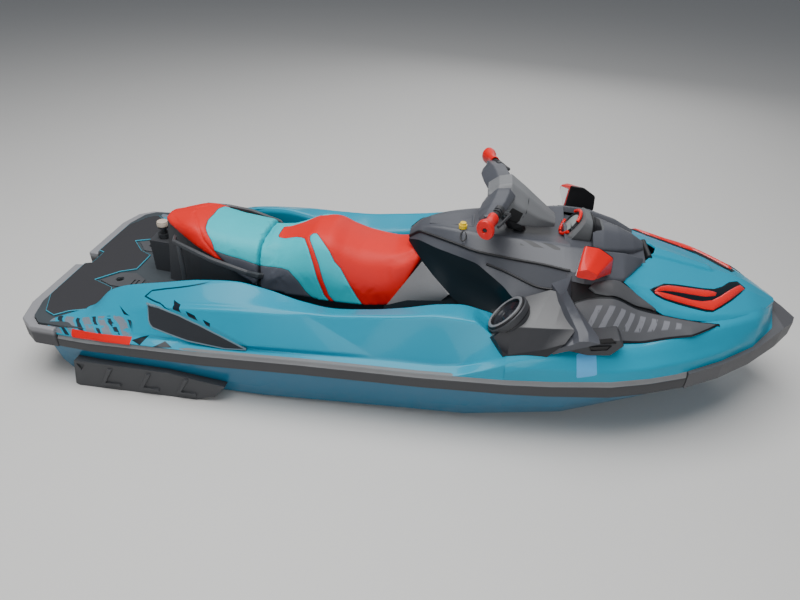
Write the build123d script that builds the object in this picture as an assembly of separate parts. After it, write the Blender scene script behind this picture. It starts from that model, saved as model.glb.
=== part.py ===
from build123d import *
import math
import os

os.makedirs("parts", exist_ok=True)

# A three-seat tow-sports personal watercraft, in millimetres.
# +X is the bow, +Y is port and +Z is up. Heights are written above the keel,
# and every piece is lowered by DRAFT when it is written, so that the origin
# lies amidships on the waterline.

# Overall
STERN_X = -1725
BOW_X = 1726
DRAFT = 205

# Hull and rail
TRANSOM_X = -1540
RAIL_THICK = 26
RAIL_SET = 6
FLOOR_SKIN = 14

# Pump, shaft and nozzle
SHAFT_Z = 150
SHAFT_DIA = 25
SHAFT_GAP = 0.5
BORE_DIA = 160
BLADE_GAP = 0.8
BAY_HALF = 150
BAY_TOP = 300
BAY_X = -1250
PUMP_WALL = 9
PUMP_END_X = -1555
VENTURI_END_X = -1610
NOZZLE_PIVOT_X = -1638
NOZZLE_END_X = -1712
NOZZLE_BORE = 88
NOZZLE_WALL = 7
GATE_PIVOT_X = -1600
GATE_RADIUS = 150
GATE_THICK = 9
GATE_HALF = 130
PIN_GAP = 0.3
PIN_DIA = 14
EAR_Z = (57, 70)

# Engine block
ENGINE_X = (-350, 330)
ENGINE_HALF = 150
ENGINE_Z = (95, 495)
ENGINE_GAP = 10

# Deck
PLATFORM_Z = 500
MAT_THICK = 8
FOOTWELL_X = (-960, 430)
SEAM = 4

# Steering
COLUMN_X = 400
COLUMN_Z = 1000
COLUMN_RAKE = 28
BAR_DIA = 26
STEM_DIA = 44
STEM_FOOT = -215
GRIP_DIA = 34
GRIP_LENGTH = 130
GRIP_END_CAP = 48
GRIP_END = (295, 380, 1065)
BAR_RISE = (378, 0, 1082)
BAR_STRAIGHT = 104

# Tow pylon
PYLON_X = -1236
PYLON_TOP_Z = 752
PYLON_FOOT_Z = 318
PYLON_DIA = 56
PYLON_NECK_DIA = 26

# Front storage and glove box
LID_HINGE = (1008, 845)
LID_BARREL = 24
LID_SWING = 36
LID_THICK = 26
BIN_PLAN = [(668, 168), (770, 166), (884, 132), (985, 96)]
BIN_FLOOR_Z = 520
BIN_WALL = 7
GLOVE_X = (76, 226)
GLOVE_FLOOR_Z = 790
GLOVE_LID = 18
GLOVE_HINGE = (250, 902)
GLOVE_BARREL = 16
LID_GAP = 5
GLOVE_GAP = 2

# Fittings
RAIL_WIDE = 30
CARGO_X = -1420
CARGO_Y = 168
CARGO_BORE = 32
EYE_BORE = 20
BOW_EYE = (1672, 0, 452)
STERN_EYE = (-1560, 300, 330)
DRAIN_DIA = 34
INSERT_SET = 8

# Rail stations: x, outer half breadth, underside, top
RAIL = [
    (-1545, 572, 396, 456),
    (-1350, 592, 399, 463),
    (-830, 606, 408, 482),
    (-395, 611, 429, 502),
    (100, 612, 440, 512),
    (450, 604, 450, 522),
    (620, 594, 456, 531),
    (850, 572, 467, 546),
    (1000, 535, 478, 555),
    (1153, 482, 490, 565),
    (1300, 408, 502, 574),
    (1450, 305, 516, 583),
    (1600, 168, 530, 591),
    (1690, 60, 538, 595),
]

# Hull stations: x, keel height, chine half breadth and height, crease half
# breadth and height
HULL = [
    (-1540, 4, 500, 205, 540, 290),
    (-1300, 0, 520, 210, 556, 295),
    (-600, 0, 542, 222, 572, 300),
    (300, 0, 520, 240, 560, 325),
    (700, 8, 470, 270, 526, 352),
    (1000, 40, 385, 322, 455, 398),
    (1300, 150, 262, 390, 330, 455),
    (1500, 300, 140, 448, 195, 503),
    (1640, 440, 50, 498, 80, 530),
]

# Gunwale stations: x, inner wall foot and head half breadths, then half
# breadth and height of inner edge, outer edge and flare top
GUNWALE = [
    (-1420, 380, 376, 400, 512, 470, 508, 545, 500),
    (-1330, 352, 350, 372, 588, 470, 530, 560, 500),
    (-1251, 350, 346, 362, 616, 472, 548, 562, 498),
    (-1072, 350, 346, 360, 652, 475, 604, 556, 492),
    (-900, 350, 346, 360, 686, 475, 632, 550, 487),
    (-740, 350, 346, 360, 699, 475, 646, 548, 485),
    (-590, 350, 346, 360, 671, 475, 652, 548, 490),
    (-310, 350, 346, 360, 609, 475, 657, 548, 501),
    (-10, 350, 346, 360, 652, 475, 691, 548, 513),
    (150, 350, 346, 360, 693, 475, 712, 548, 516),
    (300, 350, 344, 360, 686, 475, 703, 551, 547),
    (430, 350, 340, 356, 666, 475, 705, 572, 625),
]

# Bow deck stations: x, flare half breadth and height, shoulder half breadth
# and height
BOW_DECK = [
    (430, 572, 625, 475, 705),
    (520, 566, 640, 488, 682),
    (620, 558, 630, 500, 656),
    (800, 528, 616, 486, 656),
    (950, 498, 622, 458, 664),
    (1100, 452, 640, 416, 702),
    (1260, 378, 650, 345, 716),
    (1450, 262, 648, 228, 694),
    (1612, 122, 622, 84, 644),
]

# Upper bow stations: x, shoulder, valley, crown edge (half breadth, height)
# and height on the centreline
UPPER = [
    (560, 508, 650, 350, 800, 292, 878, 930),
    (640, 502, 650, 346, 812, 296, 872, 925),
    (817, 482, 652, 350, 815, 288, 858, 904),
    (940, 456, 660, 346, 764, 266, 816, 874),
    (1047, 428, 686, 336, 746, 250, 800, 850),
    (1260, 340, 710, 290, 734, 190, 764, 792),
    (1424, 243, 694, 200, 712, 90, 740, 750),
    (1604, 84, 640, 70, 648, 36, 656, 662),
]

# Cowl stations: x, foot half breadth and height, seam half breadth and
# height, ridge half breadth and height, height on the centreline
COWL = [
    (-5, 70, 846, 62, 868, 40, 884, 886),
    (55, 172, 774, 92, 872, 62, 894, 898),
    (190, 246, 640, 144, 878, 102, 912, 910),
    (400, 306, 640, 208, 878, 150, 925, 884),
    (560, 350, 640, 250, 874, 176, 928, 880),
    (640, 362, 640, 296, 870, 190, 930, 880),
]
UPPER_BASE_Z = 560

# Seat stations: x, skirt half breadth and height, shoulder half breadth and
# height, height on the centreline
SEAT_FRONT = [
    (-760, 210, 562, 150, 744, 768),
    (-625, 214, 556, 150, 714, 740),
    (-540, 216, 552, 150, 746, 772),
    (-464, 220, 546, 150, 789, 818),
    (-384, 224, 540, 152, 797, 828),
    (-217, 226, 536, 148, 760, 786),
    (-92, 196, 540, 144, 742, 766),
    (-35, 172, 618, 138, 736, 768),
    (41, 110, 748, 98, 796, 812),
    (59, 70, 827, 62, 834, 842),
]
SEAT_REAR = [
    (-1196, 50, 782, 44, 792, 800),
    (-1109, 108, 768, 98, 800, 820),
    (-1046, 150, 750, 138, 806, 830),
    (-993, 178, 731, 148, 802, 826),
    (-925, 192, 700, 150, 776, 802),
    (-860, 200, 673, 150, 764, 790),
    (-791, 206, 616, 150, 752, 778),
    (-695, 210, 568, 150, 734, 760),
    (-600, 214, 558, 150, 716, 742),
    (-540, 216, 552, 150, 746, 772),
]
# Seat base stations: x, foot half breadth, head half breadth and height
PEDESTAL = [
    (-1186, 140, 34, 778),
    (-1109, 156, 84, 764),
    (-1046, 170, 124, 746),
    (-993, 178, 150, 727),
    (-925, 184, 164, 696),
    (-860, 188, 172, 669),
    (-791, 190, 176, 612),
    (-695, 190, 180, 564),
    (-540, 192, 184, 548),
    (-384, 192, 186, 536),
    (-217, 192, 186, 532),
    (-92, 192, 166, 536),
    (-35, 194, 146, 614),
    (41, 200, 88, 742),
    (59, 202, 60, 818),
    (190, 220, 200, 640),
    (FOOTWELL_X[1], 270, 262, 640),
]
SEAT_SEAM_TOP = (-602, 760)
SEAT_SEAM_FOOT = (-709, 566)
SKIRT_HEM = 30
SEAT_GAP = 3


def lower(shape):
    """A finished piece in the frame whose origin is on the waterline."""
    return Pos(0, 0, -DRAFT) * shape


def keep(name, *shapes):
    """Write one piece, or several that do not touch, as one named file."""
    solids = []
    for shape in shapes:
        solids.extend(lower(shape).solids())
    for solid in solids:
        solid.label = name
    whole = solids[0] if len(solids) == 1 else Compound(children=solids)
    whole.label = name
    export_step(whole, f"parts/{name}.step")
    return whole


def both(shape):
    """A starboard piece and its port twin."""
    return shape, shape.mirror(Plane.XZ)


def across(x, pairs):
    """A flat face across the craft at x, from (y, z) corners."""
    return Face(Wire.make_polygon([Vector(x, y, z) for y, z in pairs], close=True))


def mirrored(pairs):
    """A full section from the corners of its port half, middle first."""
    other = [(-y, z) for y, z in reversed(pairs) if abs(y) > 1e-6]
    return list(pairs) + other


def both_sides(half):
    """A whole (x, y) outline from its port half, rear to front."""
    return list(half) + [(x, -y) for x, y in reversed(half) if y]


def skin(faces):
    """A solid with straight rulings between faces of equal corner count."""
    return Solid.make_loft([face.outer_wire() for face in faces], ruled=True)


def plan(points, low, high):
    """An upright prism over an (x, y) outline."""
    face = Face(Wire.make_polygon([Vector(x, y, low) for x, y in points], close=True))
    return Solid.extrude(face, Vector(0, 0, high - low))


def side(points, near, far):
    """A prism across the craft over an (x, z) outline."""
    face = Face(Wire.make_polygon([Vector(x, near, z) for x, z in points], close=True))
    return Solid.extrude(face, Vector(0, far - near, 0))


def biggest(shape):
    """The largest solid that a cut leaves."""
    return max(shape.solids(), key=lambda solid: solid.volume)


def block(x, y, z):
    """A box from three (low, high) pairs."""
    size = [high - low for low, high in (x, y, z)]
    middle = [(high + low) / 2 for low, high in (x, y, z)]
    return Pos(*middle) * Box(*size)


def rod(start, end, diameter):
    """A round bar between two points."""
    start, end = Vector(*start), Vector(*end)
    plane = Plane(origin=start, z_dir=end - start)
    return plane * Cylinder(diameter / 2, (end - start).length, align=(Align.CENTER, Align.CENTER, Align.MIN))


def column(table, x, index):
    """The value of a table's column at x, straight between stations."""
    for first, second in zip(table, table[1:]):
        if x <= second[0]:
            share = (x - first[0]) / (second[0] - first[0])
            return first[index] + share * (second[index] - first[index])
    return table[-1][index]


def row_at(table, x):
    """A table's whole row at x, without its station."""
    return [column(table, x, index) for index in range(1, len(table[0]))]


def rail_y(x):
    return column(RAIL, x, 1)


def rail_low(x):
    return column(RAIL, x, 2)


def rail_top(x):
    return column(RAIL, x, 3)


def stations(*tables, start, end):
    """Every station of the tables from start to end, both ends included."""
    found = {start, end}
    for table in tables:
        found.update(row[0] for row in table if start < row[0] < end)
    return sorted(found)


def hull_section(x):
    """Keel, chine, crease and rail of the hull at x."""
    keel, chine_y, chine_z, crease_y, crease_z = row_at(HULL, x)
    half = [(0, keel), (chine_y, chine_z), (crease_y, crease_z), (rail_y(x) - RAIL_SET, rail_low(x))]
    return across(x, mirrored(half))


def make_pump_bay():
    """Space under the stern that the pump hangs in, and the water intake."""
    bay = block((TRANSOM_X - 5, BAY_X), (-BAY_HALF, BAY_HALF), (-5, BAY_TOP))
    mouth = Face(Wire.make_polygon([
        Vector(-1000, -115, -30), Vector(-1000, 115, -30),
        Vector(-560, 115, -30), Vector(-560, -115, -30)], close=True))
    throat_half = BORE_DIA / 2
    throat = Face(Wire.make_polygon([
        Vector(BAY_X - 2, -throat_half, SHAFT_Z - throat_half),
        Vector(BAY_X - 2, throat_half, SHAFT_Z - throat_half),
        Vector(BAY_X - 2, throat_half, SHAFT_Z + throat_half),
        Vector(BAY_X - 2, -throat_half, SHAFT_Z + throat_half)], close=True))
    tunnel = skin([mouth, throat])
    return bay, tunnel


def shaft_bore():
    bore = SHAFT_DIA + 2 * SHAFT_GAP
    return rod((BAY_X - 1, 0, SHAFT_Z), (ENGINE_X[0] - ENGINE_GAP + 1, 0, SHAFT_Z), bore)


def make_hull():
    shell = skin([hull_section(x) for x in stations(HULL, RAIL, start=TRANSOM_X, end=HULL[-1][0])])
    bay, tunnel = make_pump_bay()
    pocket = block(
        (ENGINE_X[0] - ENGINE_GAP, ENGINE_X[1] + ENGINE_GAP),
        (-ENGINE_HALF - ENGINE_GAP, ENGINE_HALF + ENGINE_GAP),
        (ENGINE_Z[0], 600))
    return shell - bay - tunnel - pocket - shaft_bore()


def make_engine():
    return block(ENGINE_X, (-ENGINE_HALF, ENGINE_HALF), ENGINE_Z)


def make_floor():
    """Thin liner on the hull's top between the rails."""
    faces = []
    for x in stations(HULL, RAIL, start=TRANSOM_X, end=FOOTWELL_X[1]):
        inner = rail_y(x) - RAIL_THICK
        low = rail_low(x)
        top = low + FLOOR_SKIN
        faces.append(across(x, [(-inner, low), (inner, low), (inner, top), (-inner, top)]))
    return skin(faces)


def make_rail():
    """Rubbing strake: a stout band with a proud lower half."""
    faces = []
    for x in stations(HULL, RAIL, start=-1500, end=1153 - SEAM):
        outer, low, top = rail_y(x), rail_low(x), rail_top(x)
        middle = low + 0.62 * (top - low)
        faces.append(across(x, [
            (-(outer - RAIL_THICK), low), (-outer, low + 6), (-outer, middle),
            (-(outer - 10), middle + 8), (-(outer - 12), top), (-(outer - RAIL_THICK), top)]))
    return skin(faces)


def make_stern_bumper():
    """Bumper round both stern corners and under the platform's edge."""
    low, top = rail_low(-1500), 492
    outer = [(-1500 - SEAM, 580), (-1620, 572), (-1690, 520), (STERN_X, 400), (STERN_X, -400),
             (-1690, -520), (-1620, -572), (-1500 - SEAM, -580)]
    inner = [(-1480, 554), (-1590, 548), (-1640, 505), (-1672, 395), (-1672, -395),
             (-1640, -505), (-1590, -548), (-1480, -554)]
    notch = plan([(-1760, -62), (-1760, 62), (-1650, 50), (-1650, -50)], 300, 700)
    return plan(outer, low, top) - plan(inner, low - 1, top + 1) - notch


def make_platform():
    """Stern deck behind the seat, over the pump and out past the transom."""
    top = PLATFORM_Z
    outline = [(-1500, 552), (-1590, 547), (-1639, 504), (-1671, 394), (-1671, 60), (-1640, 48),
               (-1640, -48), (-1671, -60), (-1671, -394), (-1639, -504), (-1590, -547), (-1500, -552),
               (-1000, -560), (-1000, 560)]
    slab = plan(outline, rail_low(-1500), top)
    step = side([(-1010, top + 1), (-960, top - 90), (-960, top + 1)], -600, 600)
    return slab - step


def make_hood_master():
    """Everything above the bow deck's shoulder, before it is split."""
    faces = []
    for x, sy, sz, vy, vz, cy, cz, top in UPPER:
        half = [(cy, cz), (vy, vz), (sy, sz), (sy - 20, UPPER_BASE_Z)]
        faces.append(across(x, [(0, top)] + half + [(-y, z) for y, z in reversed(half)]))
    return skin(faces)


def make_bow_master():
    faces = []
    for x in stations(BOW_DECK, HULL, RAIL, start=BOW_DECK[0][0], end=BOW_DECK[-1][0]):
        fy, fz, sy, sz = row_at(BOW_DECK, x)
        inner = rail_y(x) - RAIL_THICK
        half = [(inner, rail_low(x)), (inner, rail_top(x)), (fy, fz), (sy, sz)]
        faces.append(across(x, half + [(-y, z) for y, z in reversed(half)]))
    return skin(faces)


def make_gunwale():
    """Starboard side deck: inner wall, sloping top, dark side and flare."""
    faces = []
    for x in stations(GUNWALE, HULL, RAIL, start=GUNWALE[0][0], end=GUNWALE[-1][0]):
        foot, head, iy, iz, oy, oz, fy, fz = row_at(GUNWALE, x)
        inner = rail_y(x) - RAIL_THICK
        floor = rail_low(x) + FLOOR_SKIN
        section = [(foot, floor), (inner, floor), (inner, rail_top(x)), (fy, fz), (oy, oz), (iy, iz),
                   (head, iz - 26)]
        faces.append(across(x, [(-y, z) for y, z in section]))
    return skin(faces)


def make_cowl():
    """Console and its dark sides in one, before they are split."""
    faces = []
    for x, fy, fz, sy, sz, ry, rz, top in COWL:
        half = [(ry, rz), (sy, sz), (fy, fz)]
        faces.append(across(x, [(0, top)] + half + [(-y, z) for y, z in reversed(half)]))
    return skin(faces)


def make_cowl_core():
    """What lies inboard of the cowl's seam."""
    faces = []
    for x, fy, fz, sy, sz, ry, rz, top in COWL:
        faces.append(across(x, [(-sy, 500), (-sy, 1000), (sy, 1000), (sy, 500)]))
    return skin(faces)


def make_seat(table):
    """Saddle: crowned top, flared skirts and a flat underside."""
    faces = []
    for x, ky, kz, sy, sz, top in table:
        half = [(sy, sz), (ky, kz), (ky - SKIRT_HEM, kz - 6)]
        faces.append(across(x, [(0, top)] + half + [(-y, z) for y, z in reversed(half)]))
    return skin(faces)


def make_pedestal():
    """Seat base between the footwells, under the saddle and the cowl."""
    faces = []
    for x in stations(PEDESTAL, HULL, RAIL, start=PEDESTAL[0][0], end=PEDESTAL[-1][0]):
        foot, head, top = row_at(PEDESTAL, x)
        floor = rail_low(x) + FLOOR_SKIN
        faces.append(across(x, [(foot, floor), (head, top), (-head, top), (-foot, floor)]))
    return skin(faces)


def lengthwise(y, pairs):
    """A flat face along the craft at y, from (x, z) corners."""
    return Face(Wire.make_polygon([Vector(x, y, z) for x, z in pairs], close=True))


def make_pod():
    """Starboard speaker pod: a faceted housing on the side deck."""
    inner = [(372, 650), (384, 716), (492, 762), (582, 806), (640, 796), (692, 750), (640, 640)]
    ridge = [(358, 660), (350, 700), (440, 722), (520, 728), (600, 734), (680, 742), (600, 640)]
    outer = [(420, 600), (410, 640), (436, 622), (500, 645), (560, 664), (640, 705), (560, 600)]
    return skin([lengthwise(-346, inner), lengthwise(-505, ridge), lengthwise(-558, outer)])


def make_arm():
    """Band that comes down from the cowl and turns back under the pod."""
    head = [(585, 812), (662, 860), (664, 840), (640, 700), (575, 700), (585, 760)]
    kink = [(621, 806), (637, 838), (660, 800), (640, 680), (560, 680), (600, 740)]
    corner = [(685, 742), (721, 747), (764, 731), (612, 652), (572, 664), (670, 712)]
    foot = [(690, 722), (724, 728), (768, 722), (608, 648), (574, 656), (672, 706)]
    return skin([lengthwise(-300, head), lengthwise(-385, kink), lengthwise(-525, corner),
                 lengthwise(-556, foot)])


def make_vent():
    """Side vent with two dark inlets."""
    outline = [(640, 640), (736, 690), (756, 714), (846, 726), (866, 700), (826, 646), (650, 622)]
    return side(outline, -524, -430)


def make_sponson():
    """Starboard stabiliser on the hull side, with three raised L ribs."""
    outline = [(-1432, 352), (-1462, 214), (-1440, 200), (-900, 200), (-800, 236), (-744, 302), (-1000, 346)]
    plate = side(outline, -606, -520)
    for x in (-1330, -1150, -975):
        foot = [(x, 232), (x + 95, 232), (x + 91, 246), (x + 24, 246), (x + 72, 326), (x + 52, 328)]
        plate += side(foot, -614, -600)
    plate -= side([(-1410, 300), (-1385, 336), (-1425, 336)], -620, -598)
    return plate


def make_pump_housing():
    """Impeller housing, stator and converging venturi, with gate lugs."""
    outer = BORE_DIA / 2 + PUMP_WALL
    exit_bore = NOZZLE_BORE / 2 + 4
    body = rod((BAY_X, 0, SHAFT_Z), (PUMP_END_X, 0, SHAFT_Z), 2 * outer)
    flange = rod((BAY_X, 0, SHAFT_Z), (BAY_X - 14, 0, SHAFT_Z), 2 * outer + 40)
    cone = loft([
        Plane(origin=(PUMP_END_X, 0, SHAFT_Z), z_dir=(-1, 0, 0)) * Circle(outer),
        Plane(origin=(VENTURI_END_X, 0, SHAFT_Z), z_dir=(-1, 0, 0)) * Circle(exit_bore + PUMP_WALL),
    ], ruled=True)
    core = rod((BAY_X + 1, 0, SHAFT_Z), (PUMP_END_X - 0.01, 0, SHAFT_Z), BORE_DIA)
    core += loft([
        Plane(origin=(PUMP_END_X, 0, SHAFT_Z), z_dir=(-1, 0, 0)) * Circle(BORE_DIA / 2),
        Plane(origin=(VENTURI_END_X - 1, 0, SHAFT_Z), z_dir=(-1, 0, 0)) * Circle(exit_bore)], ruled=True)
    housing = body + flange + cone - core
    hub = rod((-1390, 0, SHAFT_Z), (-1530, 0, SHAFT_Z), 70) - rod(
        (-1389, 0, SHAFT_Z), (-1440, 0, SHAFT_Z), SHAFT_DIA + 2 * SHAFT_GAP)
    vanes = []
    for turn in range(0, 360, 60):
        vane = Pos(-1460, 0, SHAFT_Z) * Rot(turn, 0, 0) * Pos(0, 0, 58) * Box(110, 6, 52)
        vanes.append(vane)
    housing = housing + hub
    for vane in vanes:
        housing += vane
    for y in (-1, 1):
        lug = block((GATE_PIVOT_X - 18, GATE_PIVOT_X + 40), (54, GATE_HALF - 14),
                    (SHAFT_Z - 16, SHAFT_Z + 16))
        lug = lug if y > 0 else lug.mirror(Plane.XZ)
        housing += lug - core
    ear = block((NOZZLE_PIVOT_X - 14, VENTURI_END_X + 12), (-18, 18),
                (SHAFT_Z + EAR_Z[0], SHAFT_Z + EAR_Z[1]))
    ear += block((VENTURI_END_X, VENTURI_END_X + 12), (-18, 18), (SHAFT_Z + exit_bore, SHAFT_Z + EAR_Z[1]))
    ears = ear + Pos(0, 0, 2 * SHAFT_Z) * ear.mirror(Plane.XY)
    hole = rod((NOZZLE_PIVOT_X, 0, 0), (NOZZLE_PIVOT_X, 0, 2 * SHAFT_Z), PIN_DIA + 2 * PIN_GAP)
    gate_hole = rod((GATE_PIVOT_X, -GATE_HALF, SHAFT_Z), (GATE_PIVOT_X, -60, SHAFT_Z), PIN_DIA + 2 * PIN_GAP)
    return housing + ears - hole - gate_hole - gate_hole.mirror(Plane.XZ)


def make_nozzle():
    """Steering nozzle, hung on two upright pins."""
    start, end = NOZZLE_PIVOT_X + 4, NOZZLE_END_X
    outer = loft([
        Plane(origin=(start, 0, SHAFT_Z), z_dir=(-1, 0, 0)) * Circle(NOZZLE_BORE / 2 + NOZZLE_WALL),
        Plane(origin=(end, 0, SHAFT_Z), z_dir=(-1, 0, 0)) * Circle(NOZZLE_BORE / 2 + NOZZLE_WALL - 4),
    ], ruled=True)
    bore = loft([
        Plane(origin=(start + 1, 0, SHAFT_Z), z_dir=(-1, 0, 0)) * Circle(NOZZLE_BORE / 2),
        Plane(origin=(end - 1, 0, SHAFT_Z), z_dir=(-1, 0, 0)) * Circle(NOZZLE_BORE / 2 - 4)], ruled=True)
    pins = rod((NOZZLE_PIVOT_X, 0, SHAFT_Z - EAR_Z[1]), (NOZZLE_PIVOT_X, 0, SHAFT_Z + EAR_Z[1]), PIN_DIA)
    return outer + pins - bore


def make_gate():
    """Reverse gate: a curved bucket on two side arms, raised."""
    bucket = rod((GATE_PIVOT_X, -GATE_HALF, SHAFT_Z), (GATE_PIVOT_X, GATE_HALF, SHAFT_Z), 2 * GATE_RADIUS)
    bucket -= rod((GATE_PIVOT_X, -GATE_HALF - 1, SHAFT_Z), (GATE_PIVOT_X, GATE_HALF + 1, SHAFT_Z),
                  2 * (GATE_RADIUS - GATE_THICK))
    reach = 3 * GATE_RADIUS
    low, high = math.radians(28), math.radians(84)
    wedge = side([
        (GATE_PIVOT_X, SHAFT_Z),
        (GATE_PIVOT_X - reach * math.cos(low), SHAFT_Z + reach * math.sin(low)),
        (GATE_PIVOT_X - reach * math.cos(high), SHAFT_Z + reach * math.sin(high))],
        -GATE_HALF - 2, GATE_HALF + 2)
    gate = bucket & wedge
    arm_reach = GATE_RADIUS - 4
    for sign in (-1, 1):
        near, far = sorted((sign * GATE_HALF, sign * (GATE_HALF - 8)))
        arm = side([
            (GATE_PIVOT_X + 16, SHAFT_Z - 12), (GATE_PIVOT_X - 10, SHAFT_Z - 16),
            (GATE_PIVOT_X - arm_reach * math.cos(low), SHAFT_Z + arm_reach * math.sin(low)),
            (GATE_PIVOT_X - arm_reach * math.cos(high), SHAFT_Z + arm_reach * math.sin(high))],
            near, far)
        gate += arm
        gate += rod((GATE_PIVOT_X, sign * GATE_HALF, SHAFT_Z), (GATE_PIVOT_X, sign * 92, SHAFT_Z), PIN_DIA)
    return gate


def make_impeller():
    """Four-bladed impeller fused to its drive shaft."""
    unit = rod((-1436, 0, SHAFT_Z), (ENGINE_X[0] - SHAFT_GAP, 0, SHAFT_Z), SHAFT_DIA)
    hub = rod((-1384, 0, SHAFT_Z), (-1290, 0, SHAFT_Z), 66)
    unit += hub
    tip = BORE_DIA / 2 - BLADE_GAP
    for turn in range(0, 360, 90):
        blade = Box(84, 5, tip - 24, align=(Align.CENTER, Align.CENTER, Align.MIN))
        blade = Pos(-1337, 0, SHAFT_Z) * Rot(turn, 0, 0) * Pos(0, 0, 24) * Rot(0, 0, 38) * blade
        unit += blade & rod((-1400, 0, SHAFT_Z), (-1280, 0, SHAFT_Z), 2 * tip)
    return unit


def on_column(along, out=0.0):
    """A point on the steering axis, or out from it across its rake."""
    rake = math.radians(COLUMN_RAKE)
    return (COLUMN_X - along * math.sin(rake) + out * math.cos(rake), 0,
            COLUMN_Z + along * math.cos(rake) + out * math.sin(rake))


def make_stem():
    return rod(on_column(STEM_FOOT), on_column(84), STEM_DIA)


def make_handlebar():
    """One bent tube from end to end, clamped on the raked stem."""
    gx, gy, gz = GRIP_END
    bx, _, bz = BAR_RISE
    line = FilletPolyline(
        (gx, -gy, gz), (bx - 14, -170, bz - 2), (bx, -BAR_STRAIGHT, bz), (bx, BAR_STRAIGHT, bz),
        (bx - 14, 170, bz - 2), (gx, gy, gz), radius=60)
    start = Plane(origin=(gx, -gy, gz), z_dir=line % 0)
    bar = sweep(start * Circle(BAR_DIA / 2), path=line)
    return bar + make_stem()


def grip_line(sign):
    """The straight outer run of the bar: its tip and its direction."""
    gx, gy, gz = GRIP_END
    bx, _, bz = BAR_RISE
    way = Vector(gx - (bx - 14), sign * (gy - 170), gz - (bz - 2)).normalized()
    return Vector(gx, sign * gy, gz), way


def make_grips():
    """Rubber sleeve on each end of the bar, with a stop at its inner end."""
    grips = []
    for sign in (-1, 1):
        tip, way = grip_line(sign)
        foot = tip - way * GRIP_LENGTH
        mid = tip - way * GRIP_END_CAP
        sleeve = rod(mid, foot, GRIP_DIA) + rod(foot + way * 8, foot, GRIP_DIA + 8)
        grips.append(sleeve - rod(tip, foot - way * 4, BAR_DIA))
    return grips


def make_grip_ends():
    """Flared end of each grip, closed over the bar's tip."""
    ends = []
    for sign in (-1, 1):
        tip, way = grip_line(sign)
        mid = tip - way * GRIP_END_CAP
        flare = rod(mid, tip - way * 8, GRIP_DIA + 3) + rod(tip - way * 14, tip + way * 6, GRIP_DIA + 12)
        ends.append(flare - rod(mid - way * 4, tip, BAR_DIA))
    return ends


def make_levers():
    """Throttle and brake levers with their clamps inboard of the grips."""
    levers = []
    for sign in (-1, 1):
        tip, way = grip_line(sign)
        root = tip - way * (GRIP_LENGTH + 34)
        clamp = rod(root, root + way * 26, GRIP_DIA + 10)
        ahead = Vector(46, 0, -12)
        arm = rod(root + way * 13, root + way * 13 + ahead, 18)
        blade = rod(root + way * 13 + ahead, root + way * 118 + Vector(34, 0, -10), 13)
        levers.append((clamp + arm + blade) - rod(root - way * 3, root + way * 29, BAR_DIA))
    return levers


def make_bar_cover():
    """Padded cover over the bar's middle and down to the console."""
    rows = [
        (356, 62, 72, 1056, 1112, 1132),
        (400, 84, 92, 1020, 1112, 1140),
        (500, 70, 84, 962, 1040, 1080),
        (596, 44, 58, 930, 958, 978),
    ]
    faces = []
    for x, foot, flank, low, mid, top in rows:
        half = [(flank * 0.6, top), (flank, mid), (foot, low)]
        faces.append(across(x, half + [(-y, z) for y, z in reversed(half)]))
    bx, _, bz = BAR_RISE
    return skin(faces) - make_stem() - rod((bx, -BAR_STRAIGHT, bz), (bx, BAR_STRAIGHT, bz), BAR_DIA)


def make_mirror():
    """Starboard mirror shell, open to the rear round its glass."""
    inner = [(676, 856), (686, 990), (745, 984), (806, 946), (812, 870)]
    outer = [(655, 918), (656, 938), (692, 950), (735, 930), (724, 910)]
    shell = skin([lengthwise(-288, inner), lengthwise(-402, outer)])
    return shell


def make_pylon():
    """Sliding tow post with its hook head."""
    post = rod((PYLON_X, 0, PYLON_FOOT_Z), (PYLON_X, 0, PYLON_TOP_Z - 60), PYLON_DIA)
    neck = rod((PYLON_X, 0, PYLON_TOP_Z - 62), (PYLON_X, 0, PYLON_TOP_Z - 30), PYLON_NECK_DIA)
    head = rod((PYLON_X, 0, PYLON_TOP_Z - 32), (PYLON_X, 0, PYLON_TOP_Z), 52)
    shoulder = rod((PYLON_X, 0, PYLON_TOP_Z - 78), (PYLON_X, 0, PYLON_TOP_Z - 60), 60)
    return post + neck + head + shoulder


def pylon_bore():
    """The well that the post slides in, down through deck and hull."""
    return rod((PYLON_X, 0, PYLON_FOOT_Z - 4), (PYLON_X, 0, PYLON_TOP_Z), PYLON_DIA + 2 * PIN_GAP)


def make_pylon_housing():
    half = [(PYLON_X - 60, 46), (PEDESTAL[0][0], 58)]
    return plan(both_sides(half), PLATFORM_Z, PYLON_TOP_Z - 84) - pylon_bore()


def flat_bar(line, wide, thick):
    """A bar of hexagonal section along a line of points, wide upwards."""
    points = [Vector(*point) for point in line]
    faces = []
    for index, point in enumerate(points):
        way = points[min(index + 1, len(points) - 1)] - points[max(index - 1, 0)]
        plane = Plane(origin=point, z_dir=way, x_dir=Vector(0, 0, 1).cross(way))
        half = [(thick / 2, wide / 4), (0, wide / 2), (-thick / 2, wide / 4)]
        section = half + [(-across_, -up) for across_, up in half]
        corners = [plane.from_local_coords((u, v, 0)) for u, v in section]
        faces.append(Face(Wire.make_polygon(corners, close=True)))
    return skin(faces)


def make_grab_rail():
    """Starboard grab rail from the seat's rear corner down to its side."""
    rail = flat_bar([(-1104, -140, 752), (-1082, -192, 762), (-985, -225, 745), (-884, -250, 720),
                     (-730, -250, 672), (-694, -226, 646), (-678, -176, 616)], RAIL_WIDE, 15)
    post = rod((-1058, -200, 748), (-1064, -200, PLATFORM_Z), 22)
    return rail + post


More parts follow.
